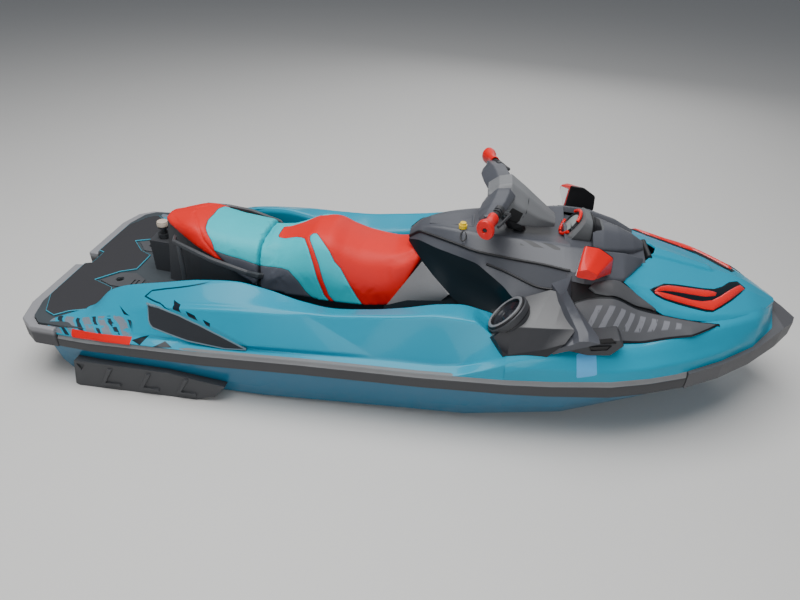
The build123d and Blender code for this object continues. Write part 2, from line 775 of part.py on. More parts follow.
def make_bow_bumper():
    """Thick bumper round the bow, from rail end to rail end."""
    outer = [(1153, rail_y(1153)), (1300, rail_y(1300)), (1450, rail_y(1450)), (1600, rail_y(1600)),
             (1690, 66), (BOW_X, 0)]
    inner = [(1100, 470), (1153, 460), (1300, 382), (1450, 278), (1566, 150), (1612, 0)]
    whole = plan(outer + [(x, -y) for x, y in reversed(outer[:-1])], 400, 700)
    whole -= plan(inner + [(x, -y) for x, y in reversed(inner[:-1])], 300, 900)
    shape = side([(1153, 490), (1450, 514), (1690, 524), (BOW_X, 540), (BOW_X, 572), (1612, 612),
                  (1450, 588), (1153, 566)], -700, 700)
    return whole & shape


def make_platform_mat():
    half = [(-1384, -70), (-1452, -106), (-1531, -195), (-1417, -243), (-1377, -337), (-1387, -413),
            (-1503, -456), (-1550, -497), (-1606, -470), (-1664, -348), (-1666, -66), (-1634, -52)]
    outline = half + [(x, -y) for x, y in reversed(half)]
    return plan(outline, PLATFORM_Z, PLATFORM_Z + MAT_THICK)


def make_footwell_mats():
    faces = []
    for x in stations(HULL, RAIL, start=FOOTWELL_X[0] + 20, end=FOOTWELL_X[1] - 20):
        low = rail_low(x) + FLOOR_SKIN
        faces.append(across(x, [(-338, low), (-204, low), (-204, low + MAT_THICK), (-338, low + MAT_THICK)]))
    return skin(faces)


def make_cargo_plate():
    """Starboard fitting plate on the platform, with its slots and socket."""
    outline = [(-1506, -192), (-1438, -226), (-1352, -232), (-1300, -214), (-1300, -150), (-1368, -104),
               (-1440, -112)]
    plate = plan(outline, PLATFORM_Z, PLATFORM_Z + 6)
    plate -= rod((CARGO_X, -CARGO_Y, 400), (CARGO_X, -CARGO_Y, 600), CARGO_BORE + 6)
    for x in (-1344, -1324):
        plate -= block((x - 4, x + 4), (-206, -160), (400, 600))
    return plate


def make_intake_grate():
    """Five bars that follow the hull's vee across the water intake."""
    bars = []
    for y in (-80, -40, 0, 40, 80):
        rise = abs(y) * 0.4
        bars.append(block((-1120, -620), (y - 4, y + 4), (rise + 6, rise + 20)))
    return bars


def make_ride_plate():
    section = [(0, 3), (BAY_HALF, 60), (BAY_HALF, 72), (0, 15), (-BAY_HALF, 72), (-BAY_HALF, 60)]
    plate = skin([across(TRANSOM_X - 30, section), across(BAY_X, section)])
    for x in (-1500, -1400, -1300):
        for y in (-70, 0, 70):
            plate -= block((x - 22, x + 22), (y - 5, y + 5), (-40, 120))
    return plate


def make_gauge():
    """Instrument pod on the lid's rear edge, its face towards the rider."""
    rows = [
        (648, 84, 66, 900, 972),
        (672, 96, 74, 896, 992),
        (760, 84, 60, 880, 972),
        (850, 52, 30, 880, 916),
    ]
    return skin([across(x, [(-foot, low), (foot, low), (head, top), (-head, top)])
                 for x, foot, head, low, top in rows])


def proud(master, outline, height):
    """A raised plate of even height over an outline on a master."""
    return (Pos(0, 0, height) * master & plan(outline, 400, 1200)) - master


def make_tow_eye(x, y, z, along):
    """A stout eye with a plate foot and a bore across it."""
    foot = block(sorted((x, x + along)), (y - 8, y + 8), (z - 14, z + 14))
    eye = rod((x, y - 8, z), (x, y + 8, z), 40) + foot
    return eye - rod((x, y - 9, z), (x, y + 9, z), EYE_BORE)


def speaker_plane():
    """Middle of the starboard speaker, facing aft, inboard and up."""
    return Plane(origin=(428, -428, 716), z_dir=(-0.72, 0.12, 0.68))


def make_speaker():
    plane = speaker_plane()
    drum = plane * Pos(0, 0, -30) * Cylinder(78, 42, align=(Align.CENTER, Align.CENTER, Align.MIN))
    ring = plane * Pos(0, 0, 4) * Cylinder(60, 20, align=(Align.CENTER, Align.CENTER, Align.MIN))
    return drum - ring


def make_side_insert():
    """Dark textured triangle let into the starboard gunwale."""
    outline = [(-1098, 601), (-1083, 547), (-1062, 533), (-897, 504), (-735, 491), (-639, 495)]
    return side(outline, -620, -440)


def split_lid(master, outline, thick, gap):
    """Cut a lid of even thickness out of a master; return lid and recess."""
    under = Pos(0, 0, -thick) * master
    lid = (master & plan(outline, 700, 1100)) - under
    hollow = plan(grown(outline, gap), 700, 1100) - Pos(0, 0, -thick - 0.5) * master
    return lid, hollow


def lid_hinge(axis, barrel, half, swing):
    """A lid's hinge barrel across the craft, and the round bed that it turns in."""
    x, z = axis
    bed = rod((x, -half - 2, z), (x, half + 2, z), 2 * swing)
    bed += block((x - swing, x + swing), (-half - 2, half + 2), (z, z + 60))
    return rod((x, -half, z), (x, half, z), barrel), bed


def grown(outline, gap):
    """An outline moved outwards from its middle by about the gap."""
    cx = sum(x for x, _ in outline) / len(outline)
    return [(x + math.copysign(gap, x - cx), y + math.copysign(gap, y) if abs(y) > 1e-6 else y)
            for x, y in outline]


# Pods, arms and vents are shaped first, and their neighbours are cut by them.
pod = make_pod()
arm = make_arm() - pod
vent = make_vent() - pod - arm
corners = [shape for piece in (pod, arm, vent) for shape in both(piece)]

# Hull, liner and seat base
engine_room = block(
    (ENGINE_X[0] - ENGINE_GAP, ENGINE_X[1] + ENGINE_GAP),
    (-ENGINE_HALF - ENGINE_GAP, ENGINE_HALF + ENGINE_GAP),
    (ENGINE_Z[0], ENGINE_Z[1] + ENGINE_GAP))
hull = make_hull() - engine_room - pylon_bore()
floor = make_floor() - pylon_bore()
pedestal = make_pedestal()
rail = make_rail() - hull - floor
sponson = make_sponson() - hull
side_insert = make_side_insert()
gunwale = make_gunwale() - pod - arm
insert_bed = Pos(0, INSERT_SET, 0) * gunwale
side_insert = (side_insert & gunwale) - insert_bed
gunwale -= side_insert
platform = make_platform() - pylon_bore() - hull - floor - pedestal - gunwale - gunwale.mirror(Plane.XZ)
platform = biggest(platform)

# Bow deck, console and its sides
bow_master = make_bow_master()
bow_deck = bow_master
bow_bumper = make_bow_bumper() - hull
bow_deck -= bow_bumper
cowl = make_cowl() - bow_master - pedestal
for shape in corners:
    bow_deck -= shape
    cowl -= shape
core = make_cowl_core()
console_master = cowl & core

# Upper bow, split along the edges that show
upper = make_hood_master()
upper_front = upper & plan([(640, -700), (640, 700), (1700, 700), (1700, -700)], 400, 1200)
upper_front -= bow_master
for shape in corners:
    upper_front -= shape
valley = [(row[0], row[3]) for row in UPPER if 640 <= row[0] <= 1260]
panel_zone = plan(valley + [(1300, 400), (1300, 700), (640, 700)], 400, 1200)
panel_left = biggest(upper_front & panel_zone)
panel_right = panel_left.mirror(Plane.XZ)
middle = upper_front - panel_zone - panel_zone.mirror(Plane.XZ)
teal_edge = [(1047, 0), (1012, 117), (884, 262), (860, 300), (860, 420)]
cut = teal_edge + [(1700, 420)]
hood_zone = plan(both_sides(cut), 400, 1200)
hood = middle & hood_zone
cowl_wings = middle - hood_zone
lid_edge = [(640, 186), (770, 184), (884, 150), (1000, 112), (1030, 0)]
lid_outline = both_sides(lid_edge)
lid, lid_hollow = split_lid(upper, lid_outline, LID_THICK, LID_GAP)
lid_barrel, lid_bed = lid_hinge(LID_HINGE, LID_BARREL, 104, LID_SWING)
lid = lid + lid_barrel
lid_hollow += lid_bed
bin_outline = both_sides(BIN_PLAN)
bin_space = plan(bin_outline, BIN_FLOOR_Z, 1200)
bin_outer = plan(grown(bin_outline, BIN_WALL), BIN_FLOOR_Z - BIN_WALL, 1200)
wings = cowl_wings - lid_hollow - bin_outer
storage_bin = ((bin_outer & (middle + bow_master)) - bin_space) - lid_hollow
hood = hood - lid_hollow - bin_outer
bow_deck -= bin_outer

# Glove box in the console
glove_edge = [(GLOVE_X[0] - 16, 38), (GLOVE_X[1] - 10, 62), (GLOVE_HINGE[0] - 4, 62)]
glove_outline = both_sides(glove_edge)
glove_lid, glove_hollow = split_lid(make_cowl(), glove_outline, GLOVE_LID, GLOVE_GAP)
glove_barrel, glove_bed = lid_hinge(GLOVE_HINGE, GLOVE_BARREL, 60, GLOVE_BARREL / 2 + 2.5)
glove_lid = glove_lid + glove_barrel
glove_space = plan(both_sides([(GLOVE_X[0], 30), (GLOVE_X[1], 52)]), GLOVE_FLOOR_Z, 1200)
stem_socket = rod(on_column(STEM_FOOT - 4), on_column(200), STEM_DIA + 2 * SHAFT_GAP)
console = console_master - glove_hollow - glove_bed - glove_space - stem_socket
cowl_sides = cowl - core

# Saddle
seat_front = make_seat(SEAT_FRONT) - pedestal - make_cowl()
seat_rear = make_seat(SEAT_REAR) - pedestal
ahead = side([SEAT_SEAM_TOP, (SEAT_SEAM_TOP[0] + 40, 1000), (400, 1000), (400, 400), (-800, 400),
              SEAT_SEAM_FOOT], -500, 500)
seat_front = seat_front & ahead
seat_rear = seat_rear - Pos(-SEAT_GAP, 0, 0) * ahead

# Trim and fittings
rail = rail - bow_bumper - make_stern_bumper() - sponson - platform
grab_rail = biggest(make_grab_rail() - pedestal - seat_front - seat_rear - platform)
platform_mat = make_platform_mat() - gunwale - gunwale.mirror(Plane.XZ)
cargo_plate = make_cargo_plate() - platform_mat - pedestal
cargo_bore = rod((CARGO_X, -CARGO_Y, PLATFORM_Z - 60), (CARGO_X, -CARGO_Y, 600), CARGO_BORE)
for shape in both(cargo_bore):
    platform -= shape
grate = [bar & (make_pump_bay()[1]) for bar in make_intake_grate()]
gauge = biggest(make_gauge() - lid)
lamp_bed = [(1000, 246), (1060, 202), (1270, 188), (1405, 78), (1436, 66), (1400, 130), (1232, 292),
            (1105, 292)]
lamp_arm = [(1022, 248), (1068, 214), (1232, 206), (1234, 222), (1080, 236), (1212, 262), (1300, 190),
            (1404, 88), (1414, 92), (1390, 128), (1226, 284), (1110, 282)]
lamp_bezel = proud(upper, lamp_bed, 4) - bow_deck
lamp_accent = proud(upper, lamp_arm, 12) - lamp_bezel
lamp_bezel = biggest(lamp_bezel)
speaker = make_speaker()
pod = pod - speaker
gunwale -= speaker
for shape in both(speaker):
    bow_deck -= shape
mirror = make_mirror() - wings - console - cowl_sides - arm
mirror_glass = side([(655, 915), (651, 915), (651, 930), (676, 975), (680, 975)], -396, -296) - mirror
bow_eye = make_tow_eye(*BOW_EYE, -60) - hull
stern_eye = make_tow_eye(STERN_EYE[0], -STERN_EYE[1], STERN_EYE[2], 40) - hull
drain = rod((TRANSOM_X - 10, -380, 240), (TRANSOM_X, -380, 240), DRAIN_DIA) + rod(
    (TRANSOM_X - 18, -380, 240), (TRANSOM_X, -380, 240), 20)
key_base = Vector(208, -88, 908)
tether_key = rod(key_base, key_base + Vector(0, 0, 20), 36) + rod(
    key_base + Vector(0, 0, 20), key_base + Vector(0, 0, 30), 26)
tether_key -= console

keep("hull", hull)
keep("engine", make_engine())
keep("deck_floor", floor - engine_room)
keep("seat_base", pedestal - engine_room)
keep("platform", platform)
keep("bow_deck", bow_deck)
keep("gunwale_right", gunwale)
keep("gunwale_left", gunwale.mirror(Plane.XZ))
keep("console", console)
keep("cowl_sides", cowl_sides)
keep("cowl_wings", wings)
keep("hood_front", hood)
keep("side_panels", panel_left, panel_right)
keep("storage_bin", storage_bin)
keep("storage_lid", lid)
keep("glovebox_lid", glove_lid)
keep("seat_front", seat_front)
keep("seat_rear", seat_rear)
keep("speaker_pods", *both(pod))
keep("cowl_arms", *both(arm))
keep("side_vents", *both(vent))
keep("sponson_right", sponson)
keep("sponson_left", sponson.mirror(Plane.XZ))
keep("rail_right", rail)
keep("rail_left", rail.mirror(Plane.XZ))
keep("stern_bumper", make_stern_bumper())
keep("pump_housing", make_pump_housing())
keep("nozzle", make_nozzle())
keep("reverse_gate", make_gate())
keep("impeller", make_impeller())
keep("handlebar", make_handlebar())
keep("grips", *make_grips())
keep("grip_ends", *make_grip_ends())
keep("levers", *make_levers())
keep("bar_cover", make_bar_cover())
keep("mirrors", *both(mirror))
keep("tow_pylon", make_pylon())
keep("pylon_housing", make_pylon_housing())
keep("grab_rails", *both(grab_rail))
keep("bow_bumper", bow_bumper)
keep("platform_mat", platform_mat)
keep("footwell_mats", *both(make_footwell_mats() - pedestal))
keep("cargo_plates", *both(cargo_plate))
keep("intake_grate", *grate)
keep("ride_plate", make_ride_plate())
keep("gauge", gauge)
keep("lamp_bezels", *both(lamp_bezel))
keep("lamp_accents", *both(lamp_accent))
keep("speakers", *both(speaker))
keep("mirror_glass", *both(mirror_glass))
keep("side_inserts", *both(side_insert))
keep("tow_eyes", bow_eye, *both(stern_eye))
keep("drain_plugs", *both(drain))
keep("tether_key", tether_key)
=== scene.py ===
import math

import bmesh
import bpy
import numpy as np
from mathutils import Matrix, Vector


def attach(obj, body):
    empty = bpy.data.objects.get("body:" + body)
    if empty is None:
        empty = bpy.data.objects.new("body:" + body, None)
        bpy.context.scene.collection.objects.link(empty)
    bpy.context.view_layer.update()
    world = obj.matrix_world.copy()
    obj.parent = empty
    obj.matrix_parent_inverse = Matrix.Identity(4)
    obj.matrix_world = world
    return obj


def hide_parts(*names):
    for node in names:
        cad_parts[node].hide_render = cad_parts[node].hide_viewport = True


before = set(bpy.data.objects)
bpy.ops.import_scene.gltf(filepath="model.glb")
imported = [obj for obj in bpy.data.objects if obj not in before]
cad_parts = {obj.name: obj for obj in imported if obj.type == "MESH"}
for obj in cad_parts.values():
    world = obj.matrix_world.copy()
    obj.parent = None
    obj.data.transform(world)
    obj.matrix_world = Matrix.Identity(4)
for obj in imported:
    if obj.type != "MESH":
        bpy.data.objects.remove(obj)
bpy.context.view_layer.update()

MM = 0.001
DRAFT = 205  # millimetres from the keel up to the waterline
DOUBLE = 2e-5  # points nearer than this, in metres, are one
TRIM_DIST = 1e-5  # points nearer than this to a cut, in metres, lie on it
FLAT = math.radians(1.0)  # faces that turn by less are rejoined
FACET_ANGLE = 14  # degrees, at the edges of moulded facets
CLOTH_STIFFNESS = 20
CLOTH_FRAMES = 20
SINK_BELOW, SINK_REACH = 0.03, 0.108  # side decks under the speakers, in metres
COLUMN_AT, COLUMN_LEAN = (400, 1000), 28  # steering column: x and height, degrees
HINGE_AT = (1008, 845)  # front lid's hinge rod: x and height
FLOOR_HALF = 30  # metres
LIT_POINT = Vector((0, 0, 0.3))  # what every light faces

# The photograph's view: image width and lens in pixels, the camera's place in
# millimetres and its turn in degrees
IMAGE_WIDTH = 800
FOCAL_PX = 594.3
CAMERA_AT = (229, -2392, 2110)
YAW, PITCH, ROLL = 7.00, 34.75, 2.04

# Lengths in the tables below are millimetres, heights above the keel.
# Rail: x, outer half breadth, underside, top
RAIL = [
    (-1545, 572, 396, 456), (-1350, 592, 399, 463), (-830, 606, 408, 482), (-395, 611, 429, 502),
    (100, 612, 440, 512), (450, 604, 450, 522), (620, 594, 456, 531), (850, 572, 467, 546),
    (1000, 535, 478, 555), (1153, 482, 490, 565), (1300, 408, 502, 574), (1450, 305, 516, 583),
    (1600, 168, 530, 591), (1690, 60, 538, 595),
]
# Side deck: x, then half breadth and height of the wall's head, the crest's
# inner and outer edges, the light strip's upper and lower edges
SIDE = [
    (-1545, 500, 498, 515, 501, 540, 500, 551, 493, 562, 460),
    (-1480, 440, 498, 452, 503, 512, 502, 548, 496, 570, 463),
    (-1420, 376, 500, 400, 512, 478, 508, 550, 500, 576, 466),
    (-1330, 350, 570, 372, 588, 470, 530, 558, 500, 582, 470),
    (-1251, 346, 596, 362, 618, 472, 548, 560, 496, 588, 472),
    (-1072, 346, 634, 360, 654, 475, 606, 556, 491, 592, 474),
    (-900, 346, 666, 360, 687, 475, 634, 550, 487, 594, 477),
    (-740, 346, 678, 360, 699, 475, 648, 548, 485, 595, 478),
    (-590, 346, 652, 360, 672, 475, 655, 548, 490, 596, 480),
    (-450, 346, 612, 360, 632, 475, 656, 548, 495, 597, 484),
    (-310, 346, 590, 360, 611, 475, 658, 548, 501, 598, 488),
    (-150, 346, 606, 360, 626, 475, 674, 548, 508, 599, 493),
    (-10, 346, 632, 360, 652, 475, 691, 548, 513, 600, 497),
    (150, 346, 672, 360, 692, 475, 712, 548, 516, 599, 503),
    (240, 346, 682, 360, 702, 475, 710, 549, 528, 597, 516),
    (330, 346, 664, 360, 684, 475, 704, 552, 562, 592, 548),
    (430, 346, 640, 356, 662, 475, 704, 560, 612, 584, 590),
]
# Bow side: x, then half breadth and height of the inner edge, the crest, the
# light strip's upper and lower edges and a point low on the flare
BOW_SIDE = [
    (430, 380, 690, 475, 704, 560, 612, 584, 590, 594, 560),
    (520, 390, 700, 488, 684, 548, 640, 573, 618, 588, 585),
    (620, 400, 700, 496, 660, 530, 650, 560, 630, 577, 585),
    (800, 400, 672, 484, 657, 508, 642, 530, 618, 555, 585),
    (950, 380, 680, 456, 665, 480, 646, 500, 622, 526, 595),
    (1100, 350, 704, 414, 696, 436, 668, 454, 640, 478, 608),
    (1260, 300, 716, 343, 708, 364, 680, 382, 650, 404, 618),
    (1450, 190, 706, 222, 694, 238, 678, 252, 658, 268, 624),
    (1540, 92, 676, 118, 667, 136, 652, 150, 636, 166, 618),
    (1604, 4, 640, 14, 636, 22, 630, 28, 622, 34, 614),
]
# Upper bow: x, half breadth and height of shoulder, valley and crown edge, and
# the height on the centreline
UPPER = [
    (560, 508, 650, 350, 800, 292, 878, 930), (640, 502, 650, 346, 812, 296, 872, 925),
    (817, 482, 652, 350, 815, 288, 858, 904), (940, 456, 660, 346, 764, 266, 816, 874),
    (1047, 428, 686, 336, 746, 250, 800, 850), (1260, 340, 710, 290, 734, 190, 764, 792),
    (1424, 243, 694, 200, 712, 90, 740, 750), (1604, 84, 640, 70, 648, 36, 656, 662),
]
# Console top: x, height on the centreline, ridge and seam
CONSOLE = [
    (-28, 838, 16, 838, 38, 822), (30, 884, 40, 882, 62, 862), (100, 899, 70, 901, 98, 862),
    (183, 906, 98, 911, 140, 861), (275, 900, 124, 916, 186, 859), (400, 886, 150, 924, 222, 862),
    (540, 882, 172, 928, 256, 868), (640, 882, 190, 930, 292, 872),
]
# Console side: x, seam, middle line, upper edge of the dark hollow, hollow, foot
CONSOLE_SIDE = [
    (-28, 39, 819, 42, 815, 44, 811, 46, 807, 48, 802),
    (30, 64, 858, 74, 843, 84, 828, 100, 800, 120, 766),
    (100, 101, 858, 114, 842, 128, 825, 150, 776, 192, 722),
    (183, 143, 857, 156, 840, 168, 822, 196, 740, 250, 664),
    (275, 189, 855, 202, 836, 212, 817, 240, 725, 312, 640),
    (330, 206, 856, 222, 820, 246, 796, 272, 712, 330, 640),
    (400, 226, 858, 250, 812, 292, 765, 306, 700, 340, 640),
    (456, 240, 859, 272, 800, 335, 735, 338, 690, 344, 640),
    (540, 260, 864, 304, 786, 345, 730, 345, 690, 346, 640),
    (640, 296, 868, 330, 800, 346, 740, 346, 690, 346, 640),
]
# Saddle: x, hem, flank and shoulder (half breadth, height), height on the
# centreline
SEAT_FRONT = [
    (-712, 208, 560, 190, 644, 144, 752, 770), (-625, 214, 554, 196, 646, 146, 740, 762),
    (-562, 218, 548, 198, 654, 146, 758, 782), (-500, 222, 545, 200, 672, 148, 784, 808),
    (-440, 224, 542, 202, 686, 150, 802, 834), (-384, 226, 540, 202, 686, 150, 804, 834),
    (-300, 228, 538, 200, 664, 148, 776, 796), (-217, 228, 538, 198, 648, 146, 752, 770),
    (-92, 204, 542, 186, 638, 142, 738, 758), (-35, 176, 610, 160, 680, 136, 744, 776),
    (10, 140, 700, 134, 736, 116, 774, 798), (45, 100, 770, 98, 788, 88, 808, 820),
]
SEAT_REAR = [
    (-1192, 44, 786, 46, 792, 36, 800, 804), (-1150, 84, 778, 86, 786, 76, 799, 814),
    (-1109, 112, 768, 112, 780, 100, 804, 822), (-1046, 150, 750, 150, 770, 134, 810, 830),
    (-993, 176, 731, 172, 760, 148, 806, 824), (-925, 192, 700, 182, 738, 150, 784, 802),
    (-860, 200, 673, 186, 716, 150, 768, 790), (-791, 206, 616, 190, 682, 150, 760, 782),
    (-695, 210, 568, 192, 646, 150, 750, 772), (-620, 212, 560, 194, 640, 148, 740, 762),
]

# Outlines on the saddles: x, and half breadth less height
SEAT_RED = [
    (-640, -850), (-640, -716), (-631, -704), (-600, -698), (-545, -706), (-511, -697), (-494, -686),
    (-465, -616), (-437, -523), (-416, -438), (-388, -356), (-355, -312), (-345, -270),
    (-322, -270), (-332, -312), (-366, -355), (-392, -438), (-412, -523), (-440, -610), (-467, -679),
    (-471, -708), (-460, -727), (-441, -728), (-420, -697), (-367, -610), (-342, -553), (-314, -519),
    (-268, -424), (-236, -364), (-205, -317), (-190, -250), (200, -250), (200, -850),
]
BOLSTER_RED = [
    (-962, -850), (-966, -790), (-968, -758), (-958, -692), (-943, -652), (-921, -609), (-909, -574),
    (-904, -549), (-880, -515), (-847, -474), (-840, -440), (-1300, -440), (-1300, -850),
]
SEAT_BAND = [
    (-915, -549), (-904, -549), (-847, -531), (-784, -518), (-718, -499), (-657, -493), (-619, -492),
    (-585, -487), (-555, -477), (-509, -419), (-477, -367), (-431, -318), (-380, -280), (-380, -200),
    (-915, -200),
]
# Outlines on the side decks: x and height
RAISED = [
    (-1137, 612), (-1110, 629), (-1050, 643), (-954, 664), (-870, 682), (-640, 740), (-300, 760),
    (-300, 480), (-639, 502), (-765, 546), (-855, 577), (-945, 601), (-1044, 615), (-1101, 613),
]
INSERT = [(-1098, 601), (-1086, 555), (-1076, 540), (-1062, 531), (-897, 501), (-735, 486), (-639, 492)]
LOWER_CREASE = ((-1101, -1044, -945, -855, -765, -639), (613, 615, 601, 577, 546, 502))
CREASE = ((-316, 614), (-81, 513))
# Creases of the saddles, as x and half breadth less height
BOLSTER_CREASE = [
    (-1049, -815), (-1046, -794), (-1013, -746), (-979, -668), (-955, -605), (-916, -550), (-866, -485),
]
# Outlines of x and height: the bow's blank sticker, and the bar cover's recess
# and seams
STICKER = ((698, 639), (772, 660), (787, 571), (711, 554))
COVER_RECESS = ((378, 974), (404, 1029), (452, 1006), (440, 962), (416, 946), (382, 942))
COVER_SEAMS = (((344, 1000), (362, 1050), (392, 1108)), ((470, 1060), (463, 1000), (414, 930)))
# Hood's side edge: x and half breadth
HOOD_EDGE = ((868, 920, 982, 1047, 1144, 1247, 1330, 1424, 1520, 1594),
             (273, 289, 316, 337, 333, 315, 286, 232, 134, 30))
# Lamps: inner and outer edge as x and half breadth
BEZEL = ([(984, 267), (1015, 241), (1049, 214), (1103, 197), (1166, 182), (1224, 168), (1276, 150),
          (1319, 117), (1363, 68), (1408, 40)],
         [(984, 267), (1008, 283), (1041, 289), (1099, 291), (1161, 291), (1214, 290), (1244, 283),
          (1290, 243), (1347, 184), (1404, 116), (1436, 70)])
UPPER_BAR = ([(1002, 268), (1032, 241), (1064, 223), (1117, 210), (1184, 194), (1244, 178), (1280, 176)],
             [(1004, 272), (1042, 258), (1077, 249), (1129, 239), (1181, 229), (1226, 219), (1270, 197)])
LOWER_BAR = ([(1004, 272), (1059, 266), (1109, 262), (1160, 259), (1204, 249), (1249, 228), (1291, 191),
              (1332, 147), (1375, 102), (1412, 66)],
             [(1004, 277), (1041, 285), (1099, 285), (1162, 284), (1215, 283), (1245, 277), (1286, 241),
              (1337, 188), (1387, 130), (1428, 84)])


# ---------------------------------------------------------------- geometry

def place(x, y, z):
    """Metres in the frame from millimetre arrays whose z is above the keel."""
    x, y, z = np.broadcast_arrays(np.asarray(x, float), y, z)
    return np.stack([x, y, z - DRAFT], -1) * MM


def placed(points):
    """The same for one array of points."""
    return place(points[..., 0], points[..., 1], points[..., 2])


def joined(*corners):
    """Sections (n, k, 2) from each corner's y and z, numbers or columns."""
    return np.stack([np.stack(np.broadcast_arrays(y, z), -1) for y, z in corners], 1)


def between(first, second, count):
    """Columns in equal shares from one line of numbers to another."""
    return first[:, None] + (second - first)[:, None] * np.linspace(0, 1, count)


def outline_of(x, first, second):
    """Closed outline along one line and back along the other."""
    return np.concatenate([np.stack([x, first], -1), np.stack([x, second], -1)[::-1]])


def patch(corners, rows, columns, margin=0.0):
    """Points spread evenly over four corners. Rows run from the first and third
    corner to the second and fourth, and stay a margin's share off the edges."""
    a, b, c, d = (np.array(corner, float) for corner in corners)
    u = np.linspace(margin, 1 - margin, rows)[:, None, None]
    v = np.linspace(margin, 1 - margin, columns)[None, :, None]
    return (1 - u) * ((1 - v) * a + v * c) + u * ((1 - v) * b + v * d)


def flow(table, x):
    """Columns of a station table at x: cubics through the rows whose slopes are
    the harmonic mean of the neighbouring runs', or zero at a turn."""
    rows = np.array(table, float)
    stations, values = rows[:, 0], rows[:, 1:]
    step = np.diff(stations)[:, None]
    run = np.diff(values, axis=0) / step
    before, after = run[:-1], run[1:]
    same = before * after > 0
    inner = np.where(same, 2 * before * after / np.where(same, before + after, 1), 0)
    slope = np.vstack([run[:1], inner, run[-1:]])
    x = np.atleast_1d(np.asarray(x, float))
    i = np.clip(np.searchsorted(stations, x) - 1, 0, len(stations) - 2)
    h = step[i]
    t = ((x - stations[i]) / (stations[i + 1] - stations[i]))[:, None]
    t = np.clip(t, 0, 1)
    return ((1 + 2 * t) * (1 - t) ** 2 * values[i] + t * (1 - t) ** 2 * h * slope[i]
            + t * t * (3 - 2 * t) * values[i + 1] + t * t * (t - 1) * h * slope[i + 1])


def straight(table, x):
    """Columns of a station table at x, straight between rows."""
    rows = np.array(table, float)
    return np.stack([np.interp(x, rows[:, 0], rows[:, k]) for k in range(1, rows.shape[1])], -1)


def rounded(corners, radii, arc=4, run=1):
    """Sections (n, k, 2) with each corner turned into a quadratic arc that
    starts and ends at its radius from it, and each run cut into equal parts,
    whose number is one for all or one for each."""
    out = [corners[:, :1]]
    last = corners[:, 0]
    count = corners.shape[1]
    parts = [run] * (count - 1) if isinstance(run, int) else run
    for k in range(1, count):
        here = corners[:, k]
        if k == count - 1 or not radii[k]:
            begin = end = here
        else:
            back, on = corners[:, k - 1] - here, corners[:, k + 1] - here
            length_back = np.linalg.norm(back, axis=1)[:, None] + 1e-9
            length_on = np.linalg.norm(on, axis=1)[:, None] + 1e-9
            begin = here + back * np.minimum(radii[k] / length_back, 0.48)
            end = here + on * np.minimum(radii[k] / length_on, 0.48)
        for s in range(1, parts[k - 1]):
            out.append((last + (begin - last) * s / parts[k - 1])[:, None])
        out.append(begin[:, None])
        if k < count - 1 and radii[k]:
            for s in range(1, arc + 1):
                t = s / arc
                out.append(((1 - t) ** 2 * begin + 2 * t * (1 - t) * here + t * t * end)[:, None])
        last = end
    return np.concatenate(out, 1)


def section_grid(x, corners, radii, arc=4, run=1, sign=1):
    """Grid of points over stations x and the rounded sections (y, z) there."""
    turned = rounded(corners, radii, arc, run)
    return place(x[:, None], sign * turned[:, :, 0], turned[:, :, 1])


def pairs(columns):
    """(n, 2k) columns as (n, k, 2) corners."""
    return columns.reshape(len(columns), -1, 2)


def cells(rows, columns, close_rows=False, close_columns=False):
    """Quad corners of a grid of points, wrapped round where it closes."""
    index = np.arange(rows * columns).reshape(rows, columns)
    if close_rows:
        index = np.vstack([index, index[:1]])
    if close_columns:
        index = np.hstack([index, index[:, :1]])
    corners = [index[:-1, :-1], index[1:, :-1], index[1:, 1:], index[:-1, 1:]]
    return np.stack(corners, -1).reshape(-1, 4)


def linked(name, data):
    """A new object in the scene that shows the data."""
    piece = bpy.data.objects.new(name, data)
    bpy.context.scene.collection.objects.link(piece)
    return piece


def merged(mesh, rejoin=False):
    """Merge doubled points, and on request rejoin flat faces."""
    work = bmesh.new()
    work.from_mesh(mesh)
    bmesh.ops.remove_doubles(work, verts=work.verts, dist=DOUBLE)
    if rejoin:
        bmesh.ops.dissolve_limit(work, angle_limit=FLAT, verts=work.verts, edges=work.edges)
    work.to_mesh(mesh)
    work.free()


def shade(mesh, angle=None):
    """Smooth faces, parted at edges that turn by more than an angle."""
    mesh.polygons.foreach_set("use_smooth", np.ones(len(mesh.polygons), dtype=bool))
    if angle:
        mesh.set_sharp_from_angle(angle=math.radians(angle))
    mesh.update()


